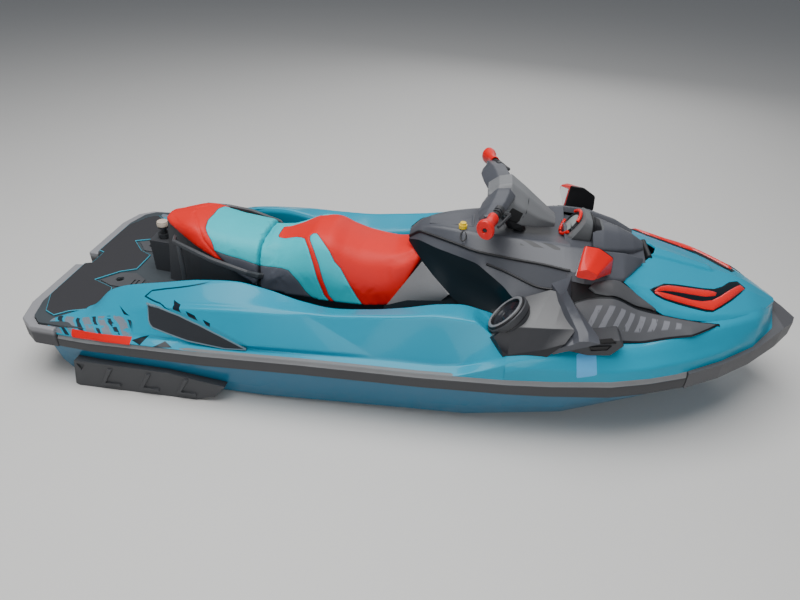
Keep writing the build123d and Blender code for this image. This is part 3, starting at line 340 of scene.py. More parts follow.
class Shape:
    """Points and faces of one piece, gathered from several grids."""

    def __init__(self):
        self.points, self.faces, self.count, self.slots = [], [], 0, []

    def add(self, grid, flip=False, close_rows=False, close_columns=False, caps=False, slot=0):
        rows, columns = grid.shape[:2]
        quads = cells(rows, columns, close_rows, close_columns) + self.count
        if flip:
            quads = quads[:, ::-1]
        self.faces += quads.tolist()
        self.slots += [slot] * len(quads)
        if caps:
            first = np.arange(columns) + self.count
            for ring, as_is in ((first, flip), (first + (rows - 1) * columns, not flip)):
                self.faces.append(ring.tolist() if as_is else ring[::-1].tolist())
                self.slots.append(slot)
        self.points.append(grid.reshape(-1, 3))
        self.count += rows * columns
        return self

    def closed(self, grid, flip=False):
        """Rings joined all round, with a cap on the first and the last."""
        return self.add(grid, flip, close_columns=True, caps=True)

    def turned(self, grid, flip=True):
        """A turned profile's rings, open at its two ends."""
        return self.add(grid, flip, close_columns=True)

    def twin(self):
        """Add the mirror image across the centreline, turned the right way out."""
        points = np.concatenate(self.points)
        self.faces += [[v + self.count for v in reversed(face)] for face in self.faces]
        self.slots += self.slots
        self.points = [points, points * (1, -1, 1)]
        self.count *= 2
        return self

    def make(self, name, finishes, node_slot, body="craft", replaces=(), smooth=40):
        mesh = bpy.data.meshes.new(name)
        mesh.from_pydata(np.concatenate(self.points).tolist(), [], self.faces)
        for finish in finishes if isinstance(finishes, list) else [finishes]:
            mesh.materials.append(finish.material)
        mesh.polygons.foreach_set("material_index", np.array(self.slots, dtype=np.int32))
        merged(mesh)
        shade(mesh, smooth)
        return settle(linked(name, mesh), body, replaces)


def outline_distance(u, v, corners):
    """Signed distance to a closed outline, positive inside it: the least
    distance to its edges, signed by how often a ray crosses them."""
    a = np.array(corners, float)
    b = np.roll(a, -1, 0)
    edge = b - a
    point = np.stack([u, v], -1)[:, None]
    share = np.clip(((point - a) * edge).sum(-1) / (edge ** 2).sum(-1), 0, 1)
    near = np.linalg.norm(point - a - share[..., None] * edge, axis=-1).min(1)
    level = v[:, None]
    crosses = (a[:, 1] > level) != (b[:, 1] > level)
    run = np.where(edge[:, 1] == 0, 1, edge[:, 1])
    cut = a[:, 0] + (level - a[:, 1]) * edge[:, 0] / run
    inside = (crosses & (u[:, None] < cut)).sum(1) % 2 == 1
    return np.where(inside, near, -near)


def line_distance(u, v, points):
    """Distance to an open line of runs."""
    a, b = np.array(points[:-1], float), np.array(points[1:], float)
    edge = b - a
    point = np.stack([u, v], -1)[..., None, :]
    share = np.clip(((point - a) * edge).sum(-1) / (edge ** 2).sum(-1), 0, 1)
    return np.linalg.norm(point - a - share[..., None] * edge, axis=-1).min(-1)


def soft_step(value):
    value = np.clip(value, 0, 1)
    return value * value * (3 - 2 * value)


def points_of(piece, what="co"):
    """The vertices' places, or their normals, as rows of x, y and z."""
    flat = np.empty(len(piece.data.vertices) * 3, dtype=np.float32)
    piece.data.vertices.foreach_get(what, flat)
    return flat.reshape(-1, 3).astype(float)


def lengths_of(piece):
    """The vertices' x, y and height above the keel in millimetres."""
    x, y, z = points_of(piece).T / MM
    return x, y, z + DRAFT


def set_points(piece, points):
    piece.data.vertices.foreach_set("co", points.astype(np.float32).ravel())
    piece.data.update()


def mark(piece, name, values):
    """Keep one number a point, such as a distance to an outline."""
    layer = piece.data.attributes.new(name, "FLOAT", "POINT")
    layer.data.foreach_set("value", np.asarray(values, dtype=np.float32))


def baked(piece):
    """Make what the modifiers show the piece's own mesh."""
    graph = bpy.context.evaluated_depsgraph_get()
    mesh = bpy.data.meshes.new_from_object(piece.evaluated_get(graph))
    piece.modifiers.clear()
    piece.data = mesh


def stuffed(piece, cap=7.0, voxel=8.0, pressure=4.0):
    """Swell a closed pad by cloth under pressure. No point moves further than
    the cap. One subdivision smooths it."""
    even = piece.modifiers.new("even", "REMESH")
    even.mode = "VOXEL"
    even.voxel_size = voxel * MM
    baked(piece)
    start = points_of(piece)
    cloth = piece.modifiers.new("fill", "CLOTH")
    cloth.settings.use_pressure = True
    cloth.settings.uniform_pressure_force = pressure
    cloth.settings.effector_weights.gravity = 0
    cloth.settings.tension_stiffness = CLOTH_STIFFNESS
    cloth.settings.compression_stiffness = CLOTH_STIFFNESS
    cloth.settings.quality = 5
    for number in range(1, CLOTH_FRAMES + 1):
        bpy.context.scene.frame_set(number)
    graph = bpy.context.evaluated_depsgraph_get()
    moved = points_of(piece.evaluated_get(graph)) - start
    piece.modifiers.clear()
    bpy.context.scene.frame_set(1)
    length = np.linalg.norm(moved, axis=1, keepdims=True) + 1e-9
    set_points(piece, start + moved * np.minimum(1, cap * MM / length))
    soft = piece.modifiers.new("soft", "SUBSURF")
    soft.levels = soft.render_levels = 1
    baked(piece)
    shade(piece.data)


def settle(piece, body="craft", replaces=()):
    """Name a piece's body, and hide the solids that it stands for."""
    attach(piece, body)
    if replaces:
        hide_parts(*replaces)
    return piece


def unit(vectors):
    return vectors / (np.linalg.norm(vectors, axis=-1, keepdims=True) + 1e-12)


def panel(grid, thick=9.0, edge=1.6):
    """A skin with turned-down edges: each border point is carried out and down
    by the edge, then down by the thickness, along the surface's normal."""
    normal = unit(np.cross(np.gradient(grid, axis=0), np.gradient(grid, axis=1)))
    if normal[..., 2].mean() < 0:
        normal = -normal
    widths = ((2, 2), (2, 2), (0, 0))
    out, lift = np.pad(grid, widths, mode="edge"), np.pad(normal, widths, mode="edge")
    for axis in (0, 1):
        for inner, rim, rings in ((3, 2, (0, 1)), (-4, -3, (-1, -2))):
            away = unit(np.take(out, [rim], axis) - np.take(out, [inner], axis)) * edge * MM
            for ring in rings:
                border = [slice(None)] * 3
                border[axis] = slice(ring, ring + 1 or None)
                out[tuple(border)] += away
    depth_r, depth_c = (np.maximum(2 - np.arange(n), np.arange(n) - (n - 3)) for n in out.shape[:2])
    ring = np.maximum(np.maximum(depth_r[:, None], depth_c[None, :]), 0)
    down = np.where(ring == 0, 0, np.where(ring == 1, edge, thick))[..., None] * MM
    return out - lift * down


def frames(path):
    """A pair of normals carried along a path of points."""
    way = unit(np.gradient(path, axis=0))
    side = np.zeros_like(path)
    guess = np.array([0, 0, 1.0]) if abs(way[0, 2]) < 0.9 else np.array([0, 1.0, 0])
    side[0] = unit(guess - way[0] * guess.dot(way[0]))
    for k in range(1, len(path)):
        kept = side[k - 1] - way[k] * side[k - 1].dot(way[k])
        side[k] = kept / np.linalg.norm(kept)
    return side, np.cross(way, side)


def tube(path, radius, sides=10):
    """Rings round a path: cosine and sine of the turn times the radius, on the
    carried normals."""
    side, other = frames(path)
    turn = np.linspace(0, 2 * np.pi, sides, endpoint=False)[None, :, None]
    return path[:, None] + (side[:, None] * np.cos(turn) + other[:, None] * np.sin(turn)) * (radius * MM)


def lathe(origin, axis, profile, sides=40):
    """Rings of the profile's (along, radius) turned round an axis."""
    axis = unit(np.asarray(axis, float))
    guess = np.array([0, 0, 1.0]) if abs(axis[2]) < 0.9 else np.array([1.0, 0, 0])
    u = unit(np.cross(guess, axis))
    v = np.cross(axis, u)
    turn = np.linspace(0, 2 * np.pi, sides, endpoint=False)
    ring = u * np.cos(turn)[:, None] + v * np.sin(turn)[:, None]
    profile = np.asarray(profile, float) * MM
    return np.asarray(origin) + axis * profile[:, :1, None] + ring[None] * profile[:, 1:, None]


def loops(rows, radius, arc, run):
    """Closed rings (n, k, 3): each corner of each ring becomes a quadratic arc
    that starts and ends at the radius from it, and each run is cut in parts."""
    rows = np.asarray(rows, float)
    before, after = np.roll(rows, 1, 1) - rows, np.roll(rows, -1, 1) - rows
    back = np.minimum(radius / (np.linalg.norm(before, axis=2, keepdims=True) + 1e-9), 0.45)
    on = np.minimum(radius / (np.linalg.norm(after, axis=2, keepdims=True) + 1e-9), 0.45)
    begin, end = rows + before * back, rows + after * on
    parts = []
    for t in np.arange(arc + 1) / arc:
        parts.append((1 - t) ** 2 * begin + 2 * t * (1 - t) * rows + t * t * end)
    following = np.roll(begin, -1, 1)
    for k in range(1, run):
        parts.append(end + (following - end) * k / run)
    return np.stack(parts, 2).reshape(len(rows), -1, 3)


def blended(rings, spans):
    """Rings in equal steps from each ring to the next, spans to a pair."""
    out = [a + (b - a) * t for a, b in zip(rings, rings[1:]) for t in np.arange(spans) / spans]
    return np.array(out + [rings[-1]])


def domed(rings, out, inset):
    """A stack of rings with a smaller ring pushed out at each end."""
    caps = []
    for ring, nearer in ((rings[0], rings[1]), (rings[-1], rings[-2])):
        middle = ring.mean(0)
        away = unit(middle - nearer.mean(0)) * out
        caps.append(middle + (ring - middle) * inset + away)
    return np.concatenate([caps[:1], rings, caps[1:]])


def ribbon(first, second, count, across, crown, lift):
    """Surface between two lines of (x, half breadth) whose points are matched
    by their share of the length. It lies on the upper bow, raised by the lift,
    and the crown arches it by the root of the sine across and of a quick rise
    along."""
    lines = []
    for line in (first, second):
        line = np.asarray(line, float)
        length = np.concatenate([[0], np.cumsum(np.linalg.norm(np.diff(line, axis=0), axis=1))])
        wanted = np.linspace(0, length[-1], count)
        lines.append(np.stack([np.interp(wanted, length, line[:, k]) for k in (0, 1)], -1))
    share = np.linspace(0, 1, across)[None, :, None]
    flat = lines[0][:, None] * (1 - share) + lines[1][:, None] * share
    arch = np.sin(np.pi * share[..., 0]) ** 0.5
    from_end = np.minimum(np.arange(count), np.arange(count)[::-1]) / (count * 0.05)
    ends = np.clip(from_end, 0, 1)[:, None] ** 0.5
    z = upper_height(flat[..., 0], flat[..., 1]) + lift + crown * arch * ends
    return place(flat[..., 0], -flat[..., 1], z)


def refined(node, finish, body="craft", bevel=2.0, angle=28, segments=2, rim=None):
    """A merged copy of a CAD node with its flat faces rejoined and its edges
    rounded by a live bevel, which may have a finish of its own."""
    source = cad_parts[node]
    mesh = source.data.copy()
    mesh.name = node + "_fine"
    mesh.transform(source.matrix_world)
    merged(mesh, rejoin=True)
    mesh.materials.clear()
    mesh.materials.append(finish.material)
    mesh.polygons.foreach_set("material_index", np.zeros(len(mesh.polygons), dtype=np.int32))
    shade(mesh, angle)
    piece = linked(mesh.name, mesh)
    if bevel:
        round_edges(piece, bevel, angle, segments)
    if rim:
        mesh.materials.append(rim.material)
        piece.modifiers["edges"].material = 1
    return settle(piece, body, (node,))


def trim(piece, spot, normal, side=0):
    """Cut off what lies beyond a plane and close the cut; with a side given,
    only on the port (1) or starboard (-1) half."""
    work = bmesh.new()
    work.from_mesh(piece.data)
    geometry = [v for v in work.verts if v.co.y * side >= 0]
    geometry += [part for part in (*work.edges, *work.faces) if part.verts[0].co.y * side >= 0]
    cut = bmesh.ops.bisect_plane(work, geom=geometry, plane_co=tuple(spot), plane_no=tuple(normal),
                                 clear_outer=True, dist=TRIM_DIST)
    rim = [e for e in cut["geom_cut"] if isinstance(e, bmesh.types.BMEdge)]
    bmesh.ops.holes_fill(work, edges=rim, sides=0)
    bmesh.ops.recalc_face_normals(work, faces=work.faces)
    work.to_mesh(piece.data)
    work.free()
    shade(piece.data, FACET_ANGLE)


def round_edges(piece, width, angle=28, segments=2):
    edge = piece.modifiers.new("edges", "BEVEL")
    edge.width = width * MM
    edge.segments = segments
    edge.limit_method = "ANGLE"
    edge.angle_limit = math.radians(angle)
    edge.harden_normals = True
    edge.use_clamp_overlap = True


# ---------------------------------------------------------------- finishes

class Value:
    """A shader socket that adds Math nodes when it is used in an expression."""

    def __init__(self, finish, socket):
        self.finish, self.socket = finish, socket

    def math(self, operation, *others):
        return self.finish.math(operation, self, *others)

    def __add__(self, other):
        return self.math("ADD", other)

    def __sub__(self, other):
        return self.math("SUBTRACT", other)

    def __rsub__(self, other):
        return self.finish.math("SUBTRACT", other, self)

    def __mul__(self, other):
        return self.math("MULTIPLY", other)

    def __abs__(self):
        return self.math("ABSOLUTE")

    __radd__, __rmul__ = __add__, __mul__

    def least(self, other):
        return self.math("MINIMUM", other)

    def most(self, other):
        return self.math("MAXIMUM", other)

    def above(self, edge, soft=0.0008):
        """0 below the edge and 1 above it, over a soft width."""
        node = self.finish.node("ShaderNodeMapRange", {"interpolation_type": "SMOOTHSTEP"},
                                {"Value": self, "From Min": edge - soft, "From Max": edge + soft})
        return Value(self.finish, node.outputs[0])

    def below(self, edge, soft=0.0008):
        return 1 - self.above(edge, soft)

    def within(self, low, high, soft=0.0008):
        """1 between two edges."""
        return self.above(low, soft) * self.below(high, soft)

    def wave(self, pitch):
        """Rises and falls between 0 and 1, once a pitch."""
        return (self * (2 * math.pi / pitch)).math("SINE") * 0.5 + 0.5


class Finish:
    """A material: constants on the shader's own sockets, patterns by expressions."""

    def __init__(self, name, color, **constants):
        self.material = bpy.data.materials.new(name)
        self.material.use_nodes = True
        self.tree = self.material.node_tree
        self.shader = self.tree.nodes["Principled BSDF"]
        self.shader.inputs["Base Color"].default_value = (*color, 1)
        for key, value in constants.items():
            self.shader.inputs[key.replace("_", " ").title().replace("Ior", "IOR")].default_value = value
        self.place = self.node("ShaderNodeTexCoord").outputs["Object"]
        split = self.node("ShaderNodeSeparateXYZ", {}, {"Vector": self.place})
        self.x, self.y, self.z = (Value(self, socket) for socket in split.outputs)

    def node(self, kind, settings=None, inputs=None):
        node = self.tree.nodes.new(kind)
        for key, value in (settings or {}).items():
            setattr(node, key, value)
        for key, value in (inputs or {}).items():
            self.join(node.inputs[key], value)
        return node

    def join(self, socket, value):
        if isinstance(value, Value):
            value = value.socket
        if isinstance(value, bpy.types.NodeSocket):
            self.tree.links.new(value, socket)
        else:
            socket.default_value = value

    def math(self, operation, *values):
        node = self.node("ShaderNodeMath", {"operation": operation})
        for socket, value in zip(node.inputs, values):
            self.join(socket, value)
        return Value(self, node.outputs[0])

    def mark(self, name):
        """A number kept on the mesh's points."""
        return Value(self, self.node("ShaderNodeAttribute", {"attribute_name": name}).outputs["Fac"])

    def noise(self, scale, detail=2.0, roughness=0.5, where=None):
        node = self.node("ShaderNodeTexNoise", {}, {
            "Vector": where or self.place, "Scale": scale, "Detail": detail, "Roughness": roughness})
        return Value(self, node.outputs[0])

    def grain(self, scale):
        node = self.node("ShaderNodeTexVoronoi", {"feature": "F1"}, {"Vector": self.place, "Scale": scale})
        return Value(self, node.outputs["Distance"])

    def stretched(self, x, y, z):
        """Object coordinates scaled apart along the axes."""
        return self.node("ShaderNodeMapping", {}, {"Vector": self.place, "Scale": (x, y, z)}).outputs[0]

    def mix(self, share, first, second):
        """A colour between two, each a tuple or a socket."""
        node = self.node("ShaderNodeMix", {"data_type": "RGBA"})
        self.join(node.inputs[0], share)
        for socket, value in ((node.inputs[6], first), (node.inputs[7], second)):
            self.join(socket, (*value, 1) if isinstance(value, tuple) else value)
        return node.outputs[2]

    def region(self, corners):
        """1 inside a convex outline of (x, z) in metres, given anticlockwise."""
        least = None
        for (ax, az), (bx, bz) in zip(corners, corners[1:] + corners[:1]):
            length = math.hypot(bx - ax, bz - az)
            inward = (self.z - az) * ((bx - ax) / length) - (self.x - ax) * ((bz - az) / length)
            least = inward if least is None else least.least(inward)
        return least.above(0)

    def paint(self, color):
        self.join(self.shader.inputs["Base Color"], color)
        return self

    def over(self, share, color):
        """Paint a colour over what is there, by a share from 0 to 1."""
        return self.paint(self.mix(share, self.shader.inputs["Base Color"].links[0].from_socket, color))

    def rough(self, value):
        self.join(self.shader.inputs["Roughness"], value)
        return self

    def bump(self, height, depth, strength=1.0):
        """Height from 0 to 1 over a depth in metres."""
        node = self.node("ShaderNodeBump", {}, {"Height": height, "Distance": depth, "Strength": strength})
        self.join(self.shader.inputs["Normal"], node.outputs[0])
        return self


TEAL = (0.0, 0.29, 0.44)
CHARCOAL = (0.045, 0.047, 0.052)
GREY = (0.068, 0.072, 0.085)
RED = (0.72, 0.006, 0.005)
SEAT_RED_DYE = (0.75, 0.012, 0.008)
SEAT_BLUE_DYE = (0.015, 0.52, 0.60)
SEAT_DARK_DYE = (0.085, 0.09, 0.11)


def shades(color, dark, light, lift=0.0):
    """A colour made darker, and the same made lighter."""
    return tuple(c * dark for c in color), tuple(c * light + lift for c in color)


def gloss(name, color, coat=0.22):
    """Polished moulded skin under a clear coat: slow ripples and faint dust."""
    f = Finish(name, color, roughness=0.4, specular_ior_level=0.22, coat_weight=coat, coat_roughness=0.07)
    f.rough(f.noise(7, 4, 0.6) * 0.14 + 0.24)
    f.paint(f.mix(f.noise(3, 2), *shades(color, 0.96, 1.04, 0.004)))
    return f.bump(f.noise(2.2, 1), 0.0016, 0.35)


def satin(name, color, rough=0.46, grain=900, depth=0.00012):
    """Grained moulding: fine cells for the grain, and scuffs in the gloss."""
    f = Finish(name, color, roughness=rough, specular_ior_level=0.4)
    speck = f.noise(grain * 0.6, 2)
    wear = f.noise(9, 5, 0.65)
    f.rough(wear * 0.22 + (rough - 0.11))
    f.paint(f.mix(wear * 0.6 + speck * 0.4, *shades(color, 0.8, 1.22)))
    return f.bump(f.grain(grain), depth, 0.7)


teal = gloss("teal_gelcoat", TEAL)
# painted shade: the hull's gelcoat is a darker teal than the deck's, darkened to stand for the shade that lies
# on the hull near the water
hull_teal_shaded = gloss("hull_gelcoat", (0.012, 0.125, 0.22))
charcoal = satin("charcoal_moulding", CHARCOAL)
charcoal_light = satin("grey_moulding", (0.075, 0.077, 0.083), 0.42, 700)
cowl_grey = satin("cowl_grey", GREY, 0.36, 1100, 0.00006)
rail_top = satin("rail_top_rubber", (0.17, 0.175, 0.18), 0.55, 500)
rail_side = satin("rail_side_rubber", (0.045, 0.046, 0.05), 0.5, 500)
bumper = satin("bumper_rubber", (0.085, 0.085, 0.092), 0.5, 600, 0.0002)
stern_rubber = satin("stern_rubber", (0.06, 0.06, 0.066), 0.55, 600, 0.0002)
# painted highlight: the stern bumper's top is painted paler, where light from above would brighten it
stern_rubber.over(stern_rubber.z.above(0.262, 0.012), (0.26, 0.26, 0.275))
mirror_red = gloss("mirror_red", RED)
mirror_red.over(abs(mirror_red.y).below(0.2915, 0.0005), (0.012, 0.012, 0.013))
tan_cap = satin("pylon_cap_tan", (0.55, 0.47, 0.38), 0.45, 500)
dark_gloss = gloss("dark_gloss", (0.002, 0.008, 0.012), coat=0.15)
black = satin("black_trim", (0.01, 0.01, 0.012), 0.4)
red_gloss = gloss("red_trim", RED)
mat_foam = satin("mat_foam", (0.030, 0.030, 0.034), 0.85, 420, 0.0005)
mat_edge = satin("mat_edge", (0.03, 0.30, 0.42), 0.7, 420)
platform_grey = satin("platform_grey", (0.05, 0.06, 0.068), 0.5, 600)
rubber = satin("grip_rubber", (0.022, 0.022, 0.024), 0.6, 800)
metal_black = satin("black_coat", (0.03, 0.031, 0.034), 0.38)
pump_metal = Finish("pump_casting", (0.5, 0.51, 0.52), metallic=1.0, roughness=0.42)
pump_metal.rough(pump_metal.noise(30, 4) * 0.3 + 0.28)
pump_metal.bump(pump_metal.noise(260, 3), 0.0003, 0.6)
steel = Finish("polished_steel", (0.62, 0.62, 0.61), metallic=1.0, roughness=0.2)
steel.rough(steel.noise(60, 3) * 0.16 + 0.12)
glass = Finish("mirror_face", (0.8, 0.82, 0.84), metallic=1.0, roughness=0.03)
glass.rough(glass.noise(20, 2) * 0.04 + 0.01)
display = gloss("display_face", (0.02, 0.022, 0.028))
screen_pale = gloss("screen_pale", (0.30, 0.33, 0.32))
lens_red = Finish("light_bar_red", RED, roughness=0.22, specular_ior_level=0.4, coat_weight=0.5,
                  coat_roughness=0.03)
lens_red.paint(lens_red.mix(lens_red.noise(18, 2), (0.72, 0.004, 0.004), (0.85, 0.02, 0.014)))
lens_red.rough(lens_red.noise(40, 2) * 0.1 + 0.18)
lens_red.bump(lens_red.x.wave(0.006), 0.0004, 0.25)
knee_grey = satin("knee_grey", (0.17, 0.17, 0.175), 0.5, 700)
trim_grey = satin("trim_grey", (0.20, 0.205, 0.215), 0.4, 900)
yellow = satin("key_yellow", (0.85, 0.58, 0.015), 0.35)
cast = satin("engine_casting", (0.2, 0.2, 0.2), 0.6, 300)


# Solids that show as they are
PLAIN = {
    "engine": cast, "deck_floor": charcoal, "storage_bin": charcoal, "impeller": steel,
    "handlebar": metal_black, "grips": rubber, "tow_pylon": metal_black, "intake_grate": pump_metal,
    "tow_eyes": steel, "drain_plugs": rubber, "tether_key": yellow,
}
for name, finish in PLAIN.items():
    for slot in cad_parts[name].material_slots:
        slot.material = finish.material


# ---------------------------------------------------------------- the craft

def rail_at(x):
    """Rubbing strake at x: outer half breadth, underside and top."""
    return straight(RAIL, x).T


def speaker_axis(side):
    """Centre of the speaker to port (1) or starboard (-1), and where it faces."""
    return place(428, side * 428, 716), (-0.72, -0.12 * side, 0.68)


def side_deck(sign):
    """Side deck from the bumper to the pod: the section's corners flow from
    station to station, and its edges are small arcs. Behind the slanting
    crease the wall swells out, and inside the raised outline it stands 6 mm
    proud, both fading to nothing at the wall's edges."""
    x = np.concatenate([np.arange(-1545, 430, 5.0), [430]])
    outer, _, top = rail_at(x)
    foot = joined((np.interp(x, [-1545, -1330], [498, 352]), 450))
    corners = np.concatenate([foot, pairs(flow(SIDE, x)), joined((outer - 12, top - 2))], 1)
    turned = rounded(corners, [0, 10, 9, 14, 7, 4, 0], arc=4, run=[2, 2, 5, 26, 5, 3])
    y, z = turned[:, :, 0], turned[:, :, 1]
    slope_y, slope_z = np.gradient(y, axis=1), np.gradient(z, axis=1)
    length = np.hypot(slope_y, slope_z) + 1e-9
    head, foot_z = corners[:, 3:4, 1], corners[:, 4:5, 1]
    down = (head - z) / (head - foot_z + 1e-9)
    on_wall = soft_step(down / 0.12) * soft_step((1 - down) / 0.12) * (y > corners[:, 3:4, 0] - 4)
    rise = wall_rise(x[:, None], z) * on_wall
    return place(x[:, None], sign * (y - slope_z / length * rise), z + slope_y / length * rise)


def wall_rise(x, z):
    """How far the side wall stands out from the straight section: by up to 16 mm
    behind the slanting crease, as an exponential of the distance from it, and
    by 6 mm more inside the raised outline."""
    (ax, az), (bx, bz) = CREASE
    run = math.hypot(bx - ax, bz - az)
    behind = ((x - ax) * (bz - az) - (z - az) * (bx - ax)) / run
    swell = 16 * (1 - np.exp(-np.clip(behind, 0, None) / 90)) * soft_step((x + 1180) / 330)
    flat_x, flat_z = np.broadcast_arrays(x, z)
    inside = outline_distance(flat_x.ravel(), flat_z.ravel(), RAISED).reshape(flat_x.shape)
    return swell + 6 * soft_step(inside / 9 + 0.5) * soft_step((-420 - flat_x) / 260)


def wall_y(x, z):
    """Half breadth of the side wall at (x, z), its rise included."""
    columns = flow(SIDE, x)
    y_head, z_head, y_foot, z_foot = columns[:, 4], columns[:, 5], columns[:, 6], columns[:, 7]
    share = np.clip((z_head[:, None] - z) / (z_head - z_foot)[:, None], 0, 1)
    return y_head[:, None] + (y_foot - y_head)[:, None] * share + wall_rise(x[:, None], z)


def side_paint():
    """Gelcoat of the side: a painted shadow line along the raised panel's upper
    edge, black bars under it and grey waves on the tail. The light strip gets
    no paint of its own; its facet's lighting shows it."""
    f = gloss("side_gelcoat", TEAL)
    # painted shadow: a dark line along the raised panel's upper edge stands for the shadow at its step
    seam = abs(f.mark("raised")).below(1.6, 0.7)
    f.over(seam * f.z.above(0.402, 0.001) * f.x.below(-0.86, 0.03), (0.004, 0.03, 0.05))
    bars = (f.x + f.z * 0.7).wave(0.062).above(0.42, 0.05)
    under = f.mark("below").within(-26, -9, 0.8)
    f.over(bars * under * f.x.within(-1.0, -0.80, 0.001), (0.006, 0.012, 0.02))
    wave = (f.x + f.y * 0.5 + f.z * 0.9 + f.noise(9, 2) * 0.07).wave(0.09)
    ragged = f.noise(1.0, 2, 0.5, f.stretched(16, 40, 40))
    tail = f.x.above(-1.545, 0.001) * f.x.below(-1.16, 0.015)
    tail = tail * f.z.within(0.262, 0.335, 0.001) * f.mark("tail").above(0, 0.8)
    f.over(tail * wave.above(0.52, 0.05) * ragged.above(0.4, 0.03), (0.17, 0.2, 0.24))
    f.over(tail * wave.below(0.12, 0.05) * ragged.above(0.45, 0.03), (0.02, 0.03, 0.04))
    for corners in (((-1251, 563), (-1212, 549), (-1182, 551)), ((-1146, 483), (-1104, 474), (-1074, 502)),
                    ((-1050, 473), (-960, 478), (-1002, 487))):
        f.over(f.region([(x * MM, (z - DRAFT) * MM) for x, z in corners]), (0.008, 0.014, 0.02))
    return f


def make_side_decks():
    """Both side decks, each sunk along its speaker's axis where it would reach
    into the speaker."""
    finish = side_paint()
    for sign, node in ((-1, "gunwale_right"), (1, "gunwale_left")):
        shape = Shape().add(side_deck(sign), flip=sign < 0)
        piece = shape.make(node + "_skin", finish, "teal_gelcoat", replaces=(node,))
        x, y, height = lengths_of(piece)
        points = points_of(piece)
        spot, way = speaker_axis(sign)
        axis = unit(np.array(way))
        along = (points - spot) @ axis
        reach = np.linalg.norm(points - spot - along[:, None] * axis, axis=1)
        sunk = np.maximum(along + SINK_BELOW, 0) * soft_step((SINK_REACH - reach) / 0.01) * (along < 0.1)
        set_points(piece, points - sunk[:, None] * axis)
        mark(piece, "raised", outline_distance(x, height, RAISED))
        mark(piece, "below", np.interp(x, *LOWER_CREASE) - height)
        mark(piece, "tail", np.abs(y) - 488)


def make_side_inserts():
    """Foam panel under the raised panel's lower crease: the wall's surface
    between two edges, 3 mm proud, with a painted highlight along its rim."""
    f = satin("insert_foam", (0.018, 0.021, 0.026), 0.8, 500, 0.0004)
    # painted highlight: a paler band along the insert's rim stands for light on a bevel
    f.over(f.mark("edge").below(4.5, 0.7), (0.13, 0.2, 0.24))
    x = np.linspace(-1097, -642, 120)
    upper = np.interp(x, *LOWER_CREASE) - np.interp(x, [-1097, -1080, -642], [0, 5, 5])
    lower = np.minimum(straight(INSERT, x)[:, 0], upper - 1)
    z = between(upper, lower, 40)
    shape = Shape().add(panel(place(x[:, None], -wall_y(x, z) - 3, z), 9, 1.2), flip=True).twin()
    piece = shape.make("side_insert_skins", f, "mat_foam", replaces=("side_inserts",))
    x_at, _, height = lengths_of(piece)
    mark(piece, "edge", outline_distance(x_at, height, outline_of(x, upper, lower)))


def make_tail_badges():
    """Blank plate on each quarter, lying on the deck's edge strip."""
    x = np.linspace(-1428, -1150, 40)
    z = between(np.full_like(x, 491.5), np.interp(x, [-1428, -1419, -1150], [470, 462, 470]), 8)
    y_head, z_head, y_foot, z_foot = np.split(flow(SIDE, x)[:, 6:], 4, 1)
    y = y_head + (y_foot - y_head) * np.clip((z_head - z) / (z_head - z_foot), 0, 1) + 1.6
    shape = Shape().add(panel(place(x[:, None], -y, z), 3, 0.8), flip=True)
    shape.twin().make("tail_badges", red_gloss, "red_plastic")


def make_bow_side():
    """Bow flank: crest, light strip and flare flow from station to station, and
    a blank sticker lies on the flare. Rounded rings close the very nose."""
    x = np.concatenate([np.arange(430, 1604, 6.0), [1604]])
    outer, _, top = rail_at(x)
    inner = np.interp(x, [1100, 1153, 1300, 1450, 1566, 1604], [488, 464, 386, 282, 154, 40], left=999)
    bumper_top = np.interp(x, [1100, 1153, 1450, 1612], [500, 565, 588, 611])
    last = joined((np.minimum(outer - 13, inner), np.maximum(top - 3, bumper_top)))
    corners = np.concatenate([pairs(flow(BOW_SIDE, x)), last], 1)
    grid = section_grid(x, corners, [0, 14, 16, 12, 10, 0], arc=5, run=[3, 6, 3, 4, 3])
    f = gloss("bow_gelcoat", TEAL)
    f.over(f.mark("sticker").above(0, 0.8), (0.10, 0.42, 0.78))
    piece = Shape().add(grid).twin().make("bow_side_skin", f, "teal_gelcoat", replaces=("bow_deck",))
    x, _, height = lengths_of(piece)
    mark(piece, "sticker", outline_distance(x, height, STICKER))
    rows = []
    for x, heights, breadths in ((1566, (605, 616, 634, 648), (46, 40, 20, 0)),
                                 (1598, (605, 616, 634, 646), (36, 32, 16, 0)),
                                 (1611, (605, 612, 620, 626), (20, 17, 9, 0))):
        half = [(x, -y, z) for y, z in zip(breadths, heights)]
        rows.append(half + [(x, -y, z) for x, y, z in half[-2::-1]])
    nose = Shape().closed(placed(blended(loops(rows, 3, 2, 2), 3)))
    nose.make("bow_nose", teal, "teal_gelcoat")


def upper_height(x, y):
    """Height of the upper bow at (x, y): the section's corners flow along the
    craft, and straight lines join them across it."""
    shape = x.shape
    columns = flow(UPPER, x.ravel())
    y = np.abs(y.ravel())
    knots = np.stack([np.zeros(len(y)), columns[:, 4], columns[:, 2], columns[:, 0]], -1)
    heights = np.stack([columns[:, 6], columns[:, 5], columns[:, 3], columns[:, 1]], -1)
    z = heights[:, 0].copy()
    for k in range(3):
        a, b = knots[:, k], knots[:, k + 1]
        share = np.clip((y - a) / (b - a), 0, 1)
        z += share * (heights[:, k + 1] - heights[:, k])
    return z.reshape(shape)


def hood_rear(y):
    """Hood's rear edge: x at a half breadth."""
    return np.interp(y, [0, 40, 74, 163, 262, 273, 290], [1048, 1034, 1008, 944, 880, 872, 868])


